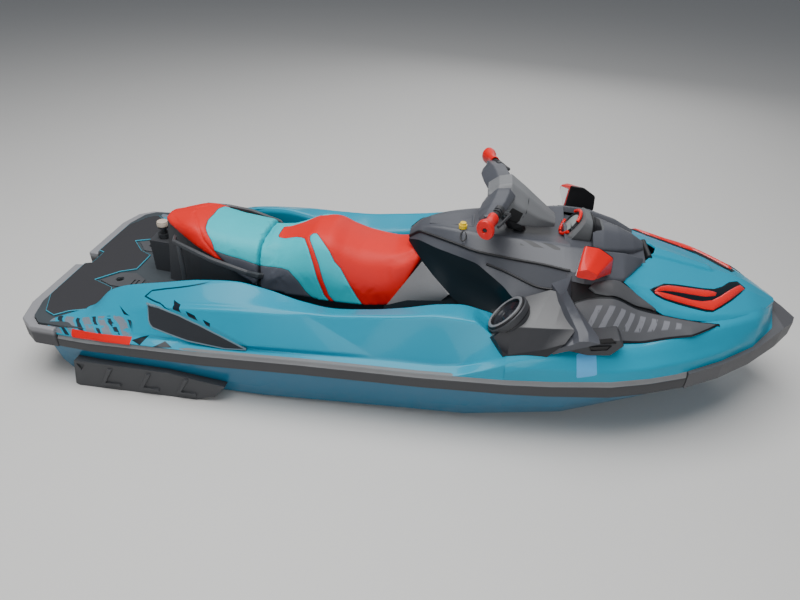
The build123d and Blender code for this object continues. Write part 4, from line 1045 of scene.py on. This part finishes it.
def make_hood():
    """Teal nose: rows run from the rear edge to the tip at a share of the half
    breadth, and the height adds a raised middle and drops at the outer edge."""
    share = np.linspace(-1, 1, 161)[None, :]
    travel = np.linspace(0, 1, 130)[:, None]
    tip = 1602 - 8 * share ** 2
    start = np.full_like(share, 950.0)
    for _ in range(30):  # settles on the rear edge
        start = hood_rear(np.abs(share) * np.interp(start, *HOOD_EDGE))
    x = start + (tip - start) * travel
    y = share * np.interp(x, *HOOD_EDGE)
    middle = np.interp(x, [1000, 1290, 1330], [60, 24, 10])
    raised = 9 * soft_step((middle - np.abs(y)) / 9 + 0.5) * soft_step((1318 - x) / 40)
    drop = 13 * np.clip((np.abs(share) - 0.93) / 0.07, 0, 1) ** 1.5
    grid = place(x, y, upper_height(x, y) + raised - drop)
    Shape().add(panel(grid)).make("hood_skin", teal, "teal_gelcoat", replaces=("hood_front",))


def make_lamps():
    """Dark bezel on each side of the nose with two red light bars that meet at
    its rear corner: ribbons on the hood's surface, arched across."""
    bed = Shape().add(panel(ribbon(*BEZEL, 60, 16, 3, 2), 8, 1.2), flip=True).twin()
    bed.make("lamp_beds", dark_gloss, "gloss_black", replaces=("lamp_bezels",))
    bars = Shape().add(panel(ribbon(*UPPER_BAR, 50, 10, 7, 5), 9, 1.2), flip=True)
    bars.add(panel(ribbon(*LOWER_BAR, 70, 10, 8, 5), 9, 1.2), flip=True)
    bars.twin().make("light_bars", lens_red, "red_plastic", replaces=("lamp_accents",))


def make_bow_inset():
    """Dark lens-shaped piece between the hood's side edge and the side panel,
    and a black liner that closes the gaps round it."""
    upper = [(728, 335), (748, 316), (791, 303), (852, 288), (906, 291), (962, 312), (1006, 334)]
    lower = [(728, 335), (756, 349), (800, 352), (852, 348), (900, 343), (950, 338), (1006, 334)]
    inset = Shape().add(panel(ribbon(upper, lower, 50, 14, 9, -2), 9, 1.5), flip=True)
    inset.twin().make("bow_insets", charcoal_light, "charcoal")
    x = np.repeat(np.linspace(650, 1010, 50)[:, None], 90, 1)
    y = np.linspace(-392, 392, 90)[None, :] * np.interp(x, [650, 1010], [1, 0.86])
    liner = Shape().add(place(x, y, upper_height(x, y) - 11))
    liner.make("bow_liner", black, "gloss_black")


def make_side_panels():
    """Charcoal panel on each flank of the bow, between the valley and the
    shoulder, drawn out to a point, with a black edge and pale brush strokes."""
    f = satin("flank_panel", (0.085, 0.087, 0.095), 0.42, 700)
    strokes = (f.x * 1.0 - f.z * 0.55 + f.noise(14, 2) * 0.012).wave(0.05).above(0.55, 0.06)
    ragged = f.noise(1, 3, 0.6, f.stretched(60, 8, 30)).above(0.36, 0.06)
    band = f.mark("edge").above(26, 3) * f.x.above(0.735, 0.004) * f.x.below(1.11, 0.02)
    f.over(strokes * ragged * band * 0.8, (0.21, 0.215, 0.24))
    f.over(f.mark("edge").below(5, 0.7), (0.006, 0.008, 0.011))
    x = np.linspace(660, 1262, 110)
    upper = np.interp(x, [660, 691, 728, 774, 852, 940, 1039, 1103, 1183, 1262],
                      [388, 374, 365, 360, 356, 351, 347, 346, 343, 331])
    lower = np.interp(x, [660, 760, 870, 945, 1097, 1144, 1175, 1220, 1262],
                      [486, 478, 462, 450, 421, 413, 396, 366, 333])
    y = between(upper, lower, 30)
    share = np.linspace(0, 1, 30)[None, :]
    xs = np.broadcast_to(x[:, None], y.shape)
    fade = np.interp(x, [660, 800, 1000, 1262], [0.5, 1, 0.8, 0.1])[:, None]
    low, high = upper_height(xs[:, -1:], y[:, -1:]), upper_height(xs[:, :1], y[:, :1])
    z = high + (low - high) * share + 16 * np.sin(np.pi * share) * fade + 2
    shape = Shape().add(panel(place(xs, -y, z)), flip=True).twin()
    piece = shape.make("side_panel_skins", f, "charcoal", replaces=("side_panels",))
    x_at, y_at, _ = lengths_of(piece)
    mark(piece, "edge", outline_distance(x_at, np.abs(y_at), outline_of(x, upper, lower)))


def make_hull():
    """Hull shell from keel to rail: the solid's own, with a round chine."""
    refined("hull", hull_teal_shaded, bevel=4.0, angle=16, segments=3)


def make_rails():
    """Rubbing strake: a pale sloping top over a dark band with a groove."""
    x = np.concatenate([np.arange(-1500, 1149, 12.0), [1149]])
    outer, low, top = rail_at(x)
    middle = low + 0.74 * (top - low)
    band = joined((outer - 24, low + 2), (outer - 4, low + 2), (outer, low + 7), (outer, middle - 6),
                  (outer - 2, middle))
    cap = joined((outer - 2, middle + 0.5), (outer - 6, middle + 5), (outer - 11, top - 3),
                 (outer - 15, top), (outer - 26, top + 1))
    for sign, node in ((-1, "rail_right"), (1, "rail_left")):
        shape = Shape()
        for corners, slot in ((band, 1), (cap, 0)):
            grid = section_grid(x, corners, [0, 3, 3, 3, 0], arc=3, run=2, sign=sign)
            shape.add(grid, flip=sign > 0, slot=slot)
        shape.make(node + "_skin", [rail_top, rail_side], "rail_rubber", replaces=(node,))


def make_console():
    """Console top from seam to seam: sections flow along it. Dark slanting
    stripes lie outside its ridges."""
    x = np.concatenate([np.linspace(-28, 60, 16), np.linspace(68, 652, 80)])
    columns = flow(CONSOLE, x)
    half = pairs(columns[:, [1, 2, 3, 4]])
    corners = np.concatenate([half[:, ::-1] * (-1, 1), joined((0, columns[:, 0])), half], 1)
    grid = section_grid(x, corners, [0, 16, 60, 16, 0], arc=6, run=5)
    f = satin("console_plastic", GREY, 0.36, 1100, 0.00006)
    slant = (f.x * 0.8 - abs(f.y) * 1.4).wave(0.046)
    stripes = f.mark("ridge").within(3, 25, 0.7) * slant.above(0.45, 0.06)
    f.over(stripes * f.x.within(0.452, 0.612, 0.001), (0.016, 0.017, 0.02))
    piece = Shape().add(panel(grid, 12, 1.5)).make("console_skin", f, "cowl_grey", replaces=("console",))
    x, y, _ = lengths_of(piece)
    mark(piece, "ridge", np.abs(y) - straight(CONSOLE, x)[:, 1])


def make_console_sides():
    """Facets under the console's seam: grey ones above, then a glossy dark
    hollow down to the footwell."""
    x = np.concatenate([np.linspace(-28, 60, 12), np.linspace(70, 640, 70)])
    corners = pairs(flow(CONSOLE_SIDE, x))
    grey = section_grid(x, corners[:, :3], [0, 5, 0], arc=3, run=4, sign=-1)
    dark = section_grid(x, corners[:, 2:], [0, 60, 0], arc=8, run=3, sign=-1)
    shape = Shape().add(panel(grey, 8, 1.2), flip=True).add(dark, flip=True, slot=1)
    shape.twin().make("console_side_skins", [cowl_grey, dark_gloss], "gloss_black", replaces=("cowl_sides",))


def make_seams():
    """Black gasket along the console's seam, and a dark line down to the arm:
    tubes along the tables' own lines."""
    x = np.concatenate([np.linspace(-26, 60, 14), np.linspace(70, 652, 70)])
    columns = flow(CONSOLE, x)
    shape = Shape().closed(tube(place(x, -columns[:, 3] - 2, columns[:, 4] + 1), 6.0))
    x = np.linspace(322, 636, 50)
    columns = flow(CONSOLE_SIDE, x)
    shape.closed(tube(place(x, -columns[:, 2] - 1, columns[:, 3] + 1), 5.0))
    shape.twin().make("console_seams", black, "gloss_black")


def make_knee_panels():
    """Pale panel in front of the saddle's foot and the dark sill under it: each
    lies over four corners and bulges by the sine of both shares."""
    rows, columns = 30, 16
    arch = np.sin(np.pi * np.linspace(0, 1, rows))[:, None] * np.sin(np.pi * np.linspace(0, 1, columns))
    for name, finish, bulge, corners in (
            ("knee_panels", knee_grey, 8,
             ((44, 146, 756), (176, 258, 674), (-100, 208, 548), (140, 246, 622))),
            ("knee_sills", dark_gloss, 2,
             ((-110, 216, 549), (232, 226, 695), (-110, 246, 520), (240, 290, 617)))):
        a, b, c = (np.array(corner, float) for corner in corners[:3])
        out = unit(np.cross(b - a, c - a))
        flat = patch(corners, rows, columns) + out * np.sign(out[1]) * bulge * arch[..., None]
        shape = Shape().add(panel(placed(flat * (1, -1, 1)), 8, 1.2), flip=True).twin()
        shape.make(name, finish, "gloss_black")


def make_mirrors():
    """Mirror shells: rounded rings from the inner to the outer end, with the
    glass set on the rear face."""
    inner = [(676, 856), (686, 990), (745, 984), (806, 946), (812, 870)]
    outer = [(655, 912), (656, 940), (692, 952), (738, 930), (728, 904)]
    rows = [[(x, -y, z) for x, z in ring] for y, ring in ((288, inner), (402, outer))]
    shell = Shape().closed(placed(domed(blended(loops(rows, 11, 4, 3), 12), 4, 0.94)))
    shell.twin().make("mirror_shells", mirror_red, "red_plastic", replaces=("mirrors",), smooth=50)
    corners = ((676, -288, 866), (655, -402, 914), (686, -288, 980), (656, -402, 938))
    face = placed(patch(corners, 12, 12, margin=0.1) - (2.5, 0, 0))
    Shape().add(panel(face, 6, 1.0)).twin().make(
        "mirror_faces", glass, "mirror_glass", replaces=("mirror_glass",))


def make_gauge():
    """Instrument pod on the front lid: rounded rings along it, leant back at
    its rear face, with a dark waist, a pale screen in a black dial, and red
    arcs round the dial."""
    rings = []
    for x, foot, head, low, top in (
            (650, 76, 58, 902, 968), (662, 92, 72, 897, 990), (735, 86, 66, 886, 978), (760, 80, 58, 884, 968),
            (766, 76, 54, 884, 960), (800, 72, 50, 882, 948), (850, 50, 30, 880, 914)):
        lean = 0.7 * max(0, 1 - (x - 650) / 110)
        middle, high = x + lean * (top - low) / 2, x + lean * (top - low)
        half = [(x, -foot, low), (middle, -foot * 0.98, (low + top) / 2), (high, -head, top)]
        rings.append(half + [(x, -y, z) for x, y, z in half[::-1]])
    shape = Shape().closed(placed(blended(loops(rings, 26, 4, 2), 5)))
    f = satin("gauge_hood", (0.12, 0.125, 0.13), 0.4, 900)
    f.over(f.x.within(0.748, 0.792, 0.001), (0.008, 0.008, 0.01))
    shape.make("gauge_pod", f, "display", "front_lid", replaces=("gauge",), smooth=50)
    centre, axis = place(672, 0, 938), (-0.82, 0, 0.57)
    dial = lathe(centre, axis, [(-6, 57), (2, 57), (7, 54), (7, 47), (3, 44), (2, 0.01)], 48)
    Shape().add(dial, flip=True).make("gauge_dial", black, "gloss_black", "front_lid")
    screen = lathe(centre, axis, [(1, 42), (3.4, 42), (4.2, 40), (4.6, 0.01)], 40)
    Shape().add(screen, flip=True).make("gauge_screen", screen_pale, "display", "front_lid")
    way = unit(np.array(axis))
    across = np.array((0, 1, 0))
    up = unit(np.cross(way, across))
    up = up * np.sign(up[2])
    arcs = Shape()
    for low, high in ((35, 145), (200, 262), (278, 340)):
        turn = np.radians(np.linspace(low, high, 26))[:, None]
        path = centre + way * 0.008 + (across * np.cos(turn) + up * np.sin(turn)) * 0.061
        arcs.closed(tube(path, 7.5))
    arcs.make("gauge_arcs", red_gloss, "red_plastic", "front_lid")


def make_grip_ends():
    """Flared red end on each grip: a profile turned round the grip's line and
    squeezed to an oval, with a dark plug in its outer face."""
    profile = [(-92, 17.5), (-92, 21), (-84, 22), (-66, 20), (-50, 20.5), (-34, 24), (-18, 30), (-4, 34),
               (4, 34), (9, 31), (10, 24), (10, 11), (6, 9), (6, 0.01)]
    flares, plugs = Shape(), Shape()
    for sign in (-1, 1):
        tip = place(295, sign * 380, 1065)
        way = unit(tip - place(364, sign * 170, 1080))
        middle = tip + way * (np.asarray(profile)[:, :1, None] * MM)
        across = unit(np.cross(way, (1, 0, 0.3)))
        offset = lathe(tip, way, profile, 36) - middle
        flares.turned(middle + offset + across * (offset @ across)[..., None] * 0.22)
        plugs.turned(lathe(tip, way, [(5, 8.5), (7, 8.5), (8, 5), (8, 0.01)], 20))
    flares.make("grip_flares", red_gloss, "red_plastic", "steering", replaces=("grip_ends",))
    plugs.make("grip_plugs", black, "grip_rubber", "steering")


def make_pods():
    """Speaker pods: the solid's own facets, cut off flush at the plane of the
    speaker's face, with their edges rounded and their outer faces dark."""
    f = satin("pod_plastic", (0.125, 0.127, 0.13), 0.42, 900)
    f.over(abs(f.y).above(0.506, 0.0015), (0.012, 0.013, 0.017))
    piece = refined("speaker_pods", f, bevel=0)
    for side in (-1, 1):
        trim(piece, *speaker_axis(side), side)
    round_edges(piece, 5, FACET_ANGLE, 3)


def make_wings():
    """Grey wings that carry the console's flanks forward to the hood: a facet
    from the rim down to the outer edge, then a lip turned under, and a black
    wall inside."""
    x = np.linspace(630, 966, 70)
    rim_x = [652, 728, 770, 884, 966]
    rim = np.interp(x, rim_x, [192, 192, 190, 157, 130])
    rim_z = np.interp(x, rim_x, [930, 927, 923, 903, 872])
    edge = np.interp(x, [630, 652, 706, 770, 872, 944, 966], [289, 295, 311, 304, 277, 167, 137])
    edge_z = np.interp(x, [652, 706, 770, 872, 944, 966], [872, 868, 860, 850, 849, 851])
    lip = edge + np.interp(x, [652, 780, 872], [18, 16, 0])
    lip_z = edge_z - np.interp(x, [652, 780, 872, 966], [34, 24, 12, 12])
    facet = joined((rim - 12, rim_z - 26), (rim, rim_z), (edge, edge_z), (lip, lip_z))
    wall = joined((lip - 5, lip_z + 2), (edge - 12, edge_z - 40), (edge - 12, 770))
    skin = Shape().add(section_grid(x, facet, [0, 9, 7, 0], arc=4, run=[2, 14, 3], sign=-1), flip=True)
    skin.twin().make("wing_skins", cowl_grey, "cowl_grey", replaces=("cowl_wings",))
    inside = Shape().add(section_grid(x, wall, [0, 6, 0], arc=3, run=[2, 6], sign=-1), flip=True)
    inside.twin().make("wing_walls", black, "cowl_grey")


def make_lid_shield():
    """Raised cover on the front lid, from the instrument pod to a point at the
    nose: sections are an arch whose width and height fall along it. The lid
    under it is cut short in front, where its hinge rod lies."""
    x = np.linspace(752, 984, 50)
    stations = [752, 800, 870, 935, 985, 1000]
    half, foot, top = (np.interp(x, stations, values) for values in (
        [150, 142, 112, 76, 34, 12], [912, 902, 890, 878, 868, 864], [950, 948, 930, 908, 882, 872]))
    corners = joined((half + 2, foot - 14), (half, foot), (half * 0.5, top - 6), (0, top))
    whole = np.concatenate([corners[:, :-1] * (-1, 1), corners[:, ::-1]], 1)
    turned = rounded(whole, [0, 10, 30, 30, 30, 10, 0], arc=4, run=4)
    ring = np.concatenate([turned, turned[:, -1:] - (0, 12), turned[:, :1] - (0, 12)], 1)
    shape = Shape().closed(place(x[:, None], ring[:, :, 0], ring[:, :, 1]))
    shape.make("lid_shield", cowl_grey, "cowl_grey", "front_lid")
    lid = refined("storage_lid", cowl_grey, "front_lid", bevel=0)
    trim(lid, place(HINGE_AT[0] - 18, 0, HINGE_AT[1]), (1, 0, 0))
    round_edges(lid, 4, FACET_ANGLE, 3)
    profile = [(-72, 0.01), (-72, 10), (-70, 12), (70, 12), (72, 10), (72, 0.01)]
    rod = Shape().turned(lathe(place(HINGE_AT[0], 0, HINGE_AT[1]), (0, 1, 0), profile, 24))
    rod.make("lid_hinge_rod", black, "gloss_black", "front_lid")


def make_steering_shroud():
    """Faceted boot round the steering column, under the bar cover: eight-sided
    rings stacked along the leaning column."""
    lean = math.radians(COLUMN_LEAN)
    rows = []
    for along, half_x, half_y in ((-92, 44, 62), (-60, 48, 66), (-20, 62, 72), (30, 70, 78), (52, 62, 70)):
        x, z = COLUMN_AT[0] - along * math.sin(lean), COLUMN_AT[1] + along * math.cos(lean)
        rows.append([(x + half_x * math.cos(turn), half_y * math.sin(turn), z + half_x * 0.5 * math.cos(turn))
                     for turn in np.radians(np.arange(22.5, 360, 45))])
    shape = Shape().closed(placed(blended(loops(rows, 8, 3, 2), 4)))
    shape.make("steering_shroud", metal_black, "cowl_grey", "steering", smooth=30)


def make_bar_cover():
    """Faceted cover over the bar's middle, with a dark recess and two seams on
    each flank, and a broad fairing out along each arm."""
    rows = []
    for x, foot, flank, low, middle, top in (
            (302, 60, 68, 1032, 1064, 1082), (340, 80, 90, 1002, 1066, 1108),
            (392, 88, 95, 966, 1060, 1120), (455, 82, 92, 943, 1024, 1074),
            (520, 66, 78, 932, 986, 1024), (592, 40, 52, 930, 954, 970)):
        half = [(x, -foot, low), (x, -flank, middle), (x, -flank * 0.55, top)]
        rows.append(half + [(x, -y, z) for x, y, z in half[::-1]])
    f = satin("bar_cover_plastic", (0.16, 0.165, 0.172), 0.42, 900)
    f.over(f.mark("recess").above(0, 0.6), (0.008, 0.008, 0.009))
    f.over(f.mark("seam").below(1.6, 0.6), (0.008, 0.008, 0.009))
    shape = Shape().closed(placed(domed(blended(loops(rows, 9, 4, 5), 14), 4, 0.93)))
    piece = shape.make("bar_shroud", f, "cowl_grey", "steering", replaces=("bar_cover",), smooth=30)
    x, y, height = lengths_of(piece)
    inside = outline_distance(x, height, COVER_RECESS)
    mark(piece, "recess", np.where(np.abs(y) > 60, inside, -20))
    mark(piece, "seam", np.minimum(*(line_distance(x, height, line) for line in COVER_SEAMS)))
    arms = Shape()
    for sign in (-1, 1):
        rows = []
        for y, front, rear, bar, top, low in (
                (50, 420, 292, 378, 1103, 1044), (120, 402, 274, 370, 1103, 1046),
                (200, 382, 261, 354, 1100, 1048), (256, 358, 266, 337, 1093, 1048),
                (288, 338, 286, 326, 1085, 1052)):
            mid = (top + low) / 2
            ring = ((front, mid - 2), (bar + 8, top), (bar - 42, top - 8), (rear, mid - 26),
                    (rear + 16, mid - 40), (bar + 6, low))
            rows.append([(x, sign * y, z) for x, z in ring])
        arms.closed(placed(domed(blended(loops(rows, 7, 3, 2), 8), 4, 0.9)), flip=sign > 0)
    arms.make("arm_fairings", cowl_grey, "cowl_grey", "steering", smooth=30)


def make_small_parts():
    """Dark slots of the side vents, the cord loop of the key, and the tow
    post's cap."""
    slots = Shape()
    for corners in (((752, 716), (812, 734), (768, 700), (832, 714)),
                    ((740, 681), (818, 697), (748, 664), (806, 676))):
        flat = patch(corners, 12, 6)
        slots.add(panel(place(flat[..., 0], -526, flat[..., 1]), 4, 0.8), flip=True)
    slots.twin().make("vent_slots", black, "gloss_black")
    turn = np.linspace(0, 2 * np.pi, 40)[:-1, None]
    path = np.hstack([np.cos(turn) * 0.012, -np.sin(turn) * 0.026 - 0.012, -np.sin(turn) * 0.010 - 0.002])
    loop = tube(place(214, -122, 899) + path, 2.6)
    Shape().add(loop, close_columns=True, close_rows=True).make("key_loop", black, "key_yellow")
    profile = [(-20, 26.4), (-20, 27.4), (-3, 27.4), (1.5, 24), (2.5, 0.01)]
    cap = Shape().turned(lathe(place(-1236, 0, 752), (0, 0, 1), profile, 36))
    cap.make("pylon_cap", tan_cap, "bar_metal", "pylon")


def make_speakers():
    """Speaker in each pod: black drum, dark bowl, pale trim ring, and a ribbed
    cone with its dome, each a profile of (along, radius)."""
    for name, finish, node_slot, profile, nodes in (
            ("speaker_drums", black, "gloss_black",
             [(-30, 77.5), (8, 77.5), (12, 74), (12, 62), (8, 59), (2, 58), (-10, 40), (-16, 20),
              (-16, 0.01)], ("speakers",)),
            ("speaker_bowls", charcoal, "charcoal",
             [(-74, 50), (-40, 72), (-14, 82), (0, 84), (3, 82), (3, 77)], ()),
            ("speaker_rings", trim_grey, "charcoal",
             [(8, 74.5), (13, 74), (15, 70), (15, 66), (13, 63), (8, 62)], ()),
            ("speaker_cones", display, "gloss_black",
             [(1, 57), (4, 55), (1, 51), (-1, 49), (-4, 45), (-1, 43), (-6, 36), (-3, 34), (-9, 27), (-6, 24),
              (-2, 20), (3, 12), (5, 0.01)], ())):
        profile = [(along + 12, reach * 1.16) for along, reach in profile]
        shape = Shape().turned(lathe(*speaker_axis(-1), profile, 56), flip=False)
        shape.twin().make(name, finish, node_slot, replaces=nodes)


def seat_sections(table, x):
    """Saddle skin: sections from hem over the crown to the other hem."""
    columns = flow(table, x)
    half = pairs(columns[:, :6])
    corners = np.concatenate([half * (-1, 1), joined((0, columns[:, 6])), half[:, ::-1]], 1)
    return rounded(corners, [0, 40, 60, 110, 60, 40, 0], arc=8, run=3)


def make_seat(name, node, table, ends, red, creases):
    """Closed saddle: the skin, an underside and two ends, swollen by cloth,
    then creased along its seams. Distances to the colours' outlines are kept."""
    x = np.linspace(*ends, 70)
    turned = seat_sections(table, x)
    under = np.stack([turned[:, -1], turned[:, 0]], 1) + np.array([[-16, -4], [16, -4]])
    ring = np.concatenate([turned, under], 1)
    shape = Shape().closed(place(x[:, None], ring[:, :, 0], ring[:, :, 1]))
    piece = shape.make(name, seat_vinyl, "seat_vinyl", replaces=(node,), smooth=180)
    stuffed(piece)
    u, y, height = lengths_of(piece)
    v = np.abs(y) - height
    red_edge, band_edge = outline_distance(u, v, red), outline_distance(u, v, SEAT_BAND)
    dip = 2.2 * np.exp(-(red_edge / 4.5) ** 2) + 1.6 * np.exp(-(band_edge / 4.5) ** 2) * (red_edge < 0)
    for line, depth, width in creases:
        dip = dip + depth * np.exp(-(line_distance(u, v, line) / width) ** 2)
    set_points(piece, points_of(piece) - points_of(piece, "normal") * dip[:, None] * MM)
    mark(piece, "red", red_edge)
    mark(piece, "band", band_edge)


def vinyl():
    """Saddle cover: leather grain, red, blue and dark fields with a dark
    stitched seam along each border, and a slow fading of the dye."""
    f = Finish("seat_vinyl", SEAT_BLUE_DYE, roughness=0.5, specular_ior_level=0.3)
    wear = f.noise(6, 4, 0.6)
    red, band = f.mark("red"), f.mark("band")
    f.paint(f.mix(wear, *shades(SEAT_BLUE_DYE, 0.9, 1.08)))
    f.over(band.above(0, 0.5), f.mix(wear, *shades(SEAT_DARK_DYE, 0.8, 1.25)))
    f.over(red.above(0, 0.5), f.mix(wear, *shades(SEAT_RED_DYE, 0.9, 1.08)))
    seam = abs(red).below(1.5, 0.5).most(abs(band).below(1.3, 0.5) * red.below(0, 0.5))
    f.over(seam * 0.85, (0.02, 0.02, 0.024))
    f.rough(wear * 0.16 + 0.42)
    return f.bump(f.grain(520) * 0.7 + f.noise(900, 2) * 0.3, 0.00016, 0.7)


seat_vinyl = vinyl()


def make_seats():
    """The two saddles, the rear one with a crease across its bolster."""
    make_seat("front_saddle", "seat_front", SEAT_FRONT, (-700, 40), SEAT_RED, ())
    make_seat("rear_saddle", "seat_rear", SEAT_REAR, (-1188, -708), BOLSTER_RED,
              ((BOLSTER_CREASE, 4.0, 6.0),))


def make_mouldings():
    """The other solids with rounded edges: node, finish, slot, body, bevel and
    the least angle between faces that is rounded."""
    for node, finish, node_slot, body, bevel, angle in (
            ("cowl_arms", cowl_grey, "cowl_grey", "craft", 4, 14),
            ("side_vents", charcoal, "charcoal", "craft", 4, 14),
            ("bow_bumper", bumper, "rail_rubber", "craft", 8, 10),
            ("stern_bumper", stern_rubber, "rail_rubber", "craft", 7, 12),
            ("sponson_right", charcoal, "charcoal", "craft", 4, 20),
            ("sponson_left", charcoal, "charcoal", "craft", 4, 20),
            ("seat_base", charcoal, "charcoal", "craft", 5, 20),
            ("platform", platform_grey, "charcoal", "craft", 5, 20),
            ("pylon_housing", charcoal, "charcoal", "craft", 5, 24),
            ("cargo_plates", charcoal_light, "charcoal", "craft", 1.5, 24),
            ("ride_plate", charcoal, "charcoal", "craft", 2, 24),
            ("pump_housing", pump_metal, "pump_metal", "craft", 2, 30),
            ("nozzle", pump_metal, "pump_metal", "jet_nozzle", 1.5, 30),
            ("reverse_gate", pump_metal, "pump_metal", "gate", 1.5, 30),
            ("glovebox_lid", cowl_grey, "cowl_grey", "glove_lid", 2, 20),
            ("grab_rails", charcoal_light, "charcoal", "craft", 5, 20),
            ("levers", metal_black, "bar_metal", "steering", 2, 24)):
        refined(node, finish, body, bevel, angle, 3)
    for node, bevel in (("platform_mat", 3.5), ("footwell_mats", 3)):
        refined(node, mat_foam, "craft", bevel, 30, 2, rim=mat_edge)


def make_stage():
    """Camera, soft lights, a pale world and a plain floor at the waterline."""
    yaw, pitch, roll = (math.radians(v) for v in (YAW, PITCH, ROLL))
    level = Vector((-math.sin(yaw), math.cos(yaw), 0))
    right = Vector((math.cos(yaw), math.sin(yaw), 0))
    ahead = level * math.cos(pitch) - Vector((0, 0, 1)) * math.sin(pitch)
    up = level * math.sin(pitch) + Vector((0, 0, 1)) * math.cos(pitch)
    right, up = right * math.cos(roll) + up * math.sin(roll), up * math.cos(roll) - right * math.sin(roll)
    data = bpy.data.cameras.new("camera")
    data.sensor_width = 36
    data.lens = FOCAL_PX / IMAGE_WIDTH * data.sensor_width
    camera = linked("camera", data)
    turned = Matrix((right, up, -ahead)).transposed().to_4x4()
    camera.matrix_world = Matrix.Translation(Vector(place(*CAMERA_AT))) @ turned
    bpy.context.scene.camera = camera
    for name, spot, size, power in (("key", (-0.6, -0.4, 5.5), 5.0, 430), ("fill", (0.3, -5.0, 2.2), 3.0, 70),
                                    ("back", (1.0, 4.5, 3.0), 4.0, 50)):
        data = bpy.data.lights.new(name, "AREA")
        data.size, data.energy = size, power
        light = linked(name, data)
        light.location = spot
        light.rotation_euler = (LIT_POINT - Vector(spot)).to_track_quat("-Z", "Y").to_euler()
    world = bpy.data.worlds.new("studio")
    world.use_nodes = True
    background = world.node_tree.nodes["Background"]
    background.inputs["Color"].default_value = (0.80, 0.86, 0.95, 1)
    background.inputs["Strength"].default_value = 0.2
    bpy.context.scene.world = world
    mesh = bpy.data.meshes.new("floor")
    far = FLOOR_HALF
    mesh.from_pydata([(-far, -far, 0), (far, -far, 0), (far, far, 0), (-far, far, 0)], [], [(0, 1, 2, 3)])
    floor = linked("floor", mesh)
    pale = Finish("floor_paint", (0.66, 0.65, 0.63), roughness=0.7)
    pale.rough(pale.noise(3, 3) * 0.2 + 0.6)
    mesh.materials.append(pale.material)


make_stage()
make_side_decks()
make_side_inserts()
make_tail_badges()
make_bow_side()
make_hood()
make_side_panels()
make_hull()
make_rails()
make_console()
make_console_sides()
make_seams()
make_knee_panels()
make_lamps()
make_bow_inset()
make_mirrors()
make_gauge()
make_grip_ends()
make_pods()
make_bar_cover()
make_wings()
make_lid_shield()
make_steering_shroud()
make_small_parts()
make_speakers()
make_seats()
make_mouldings()
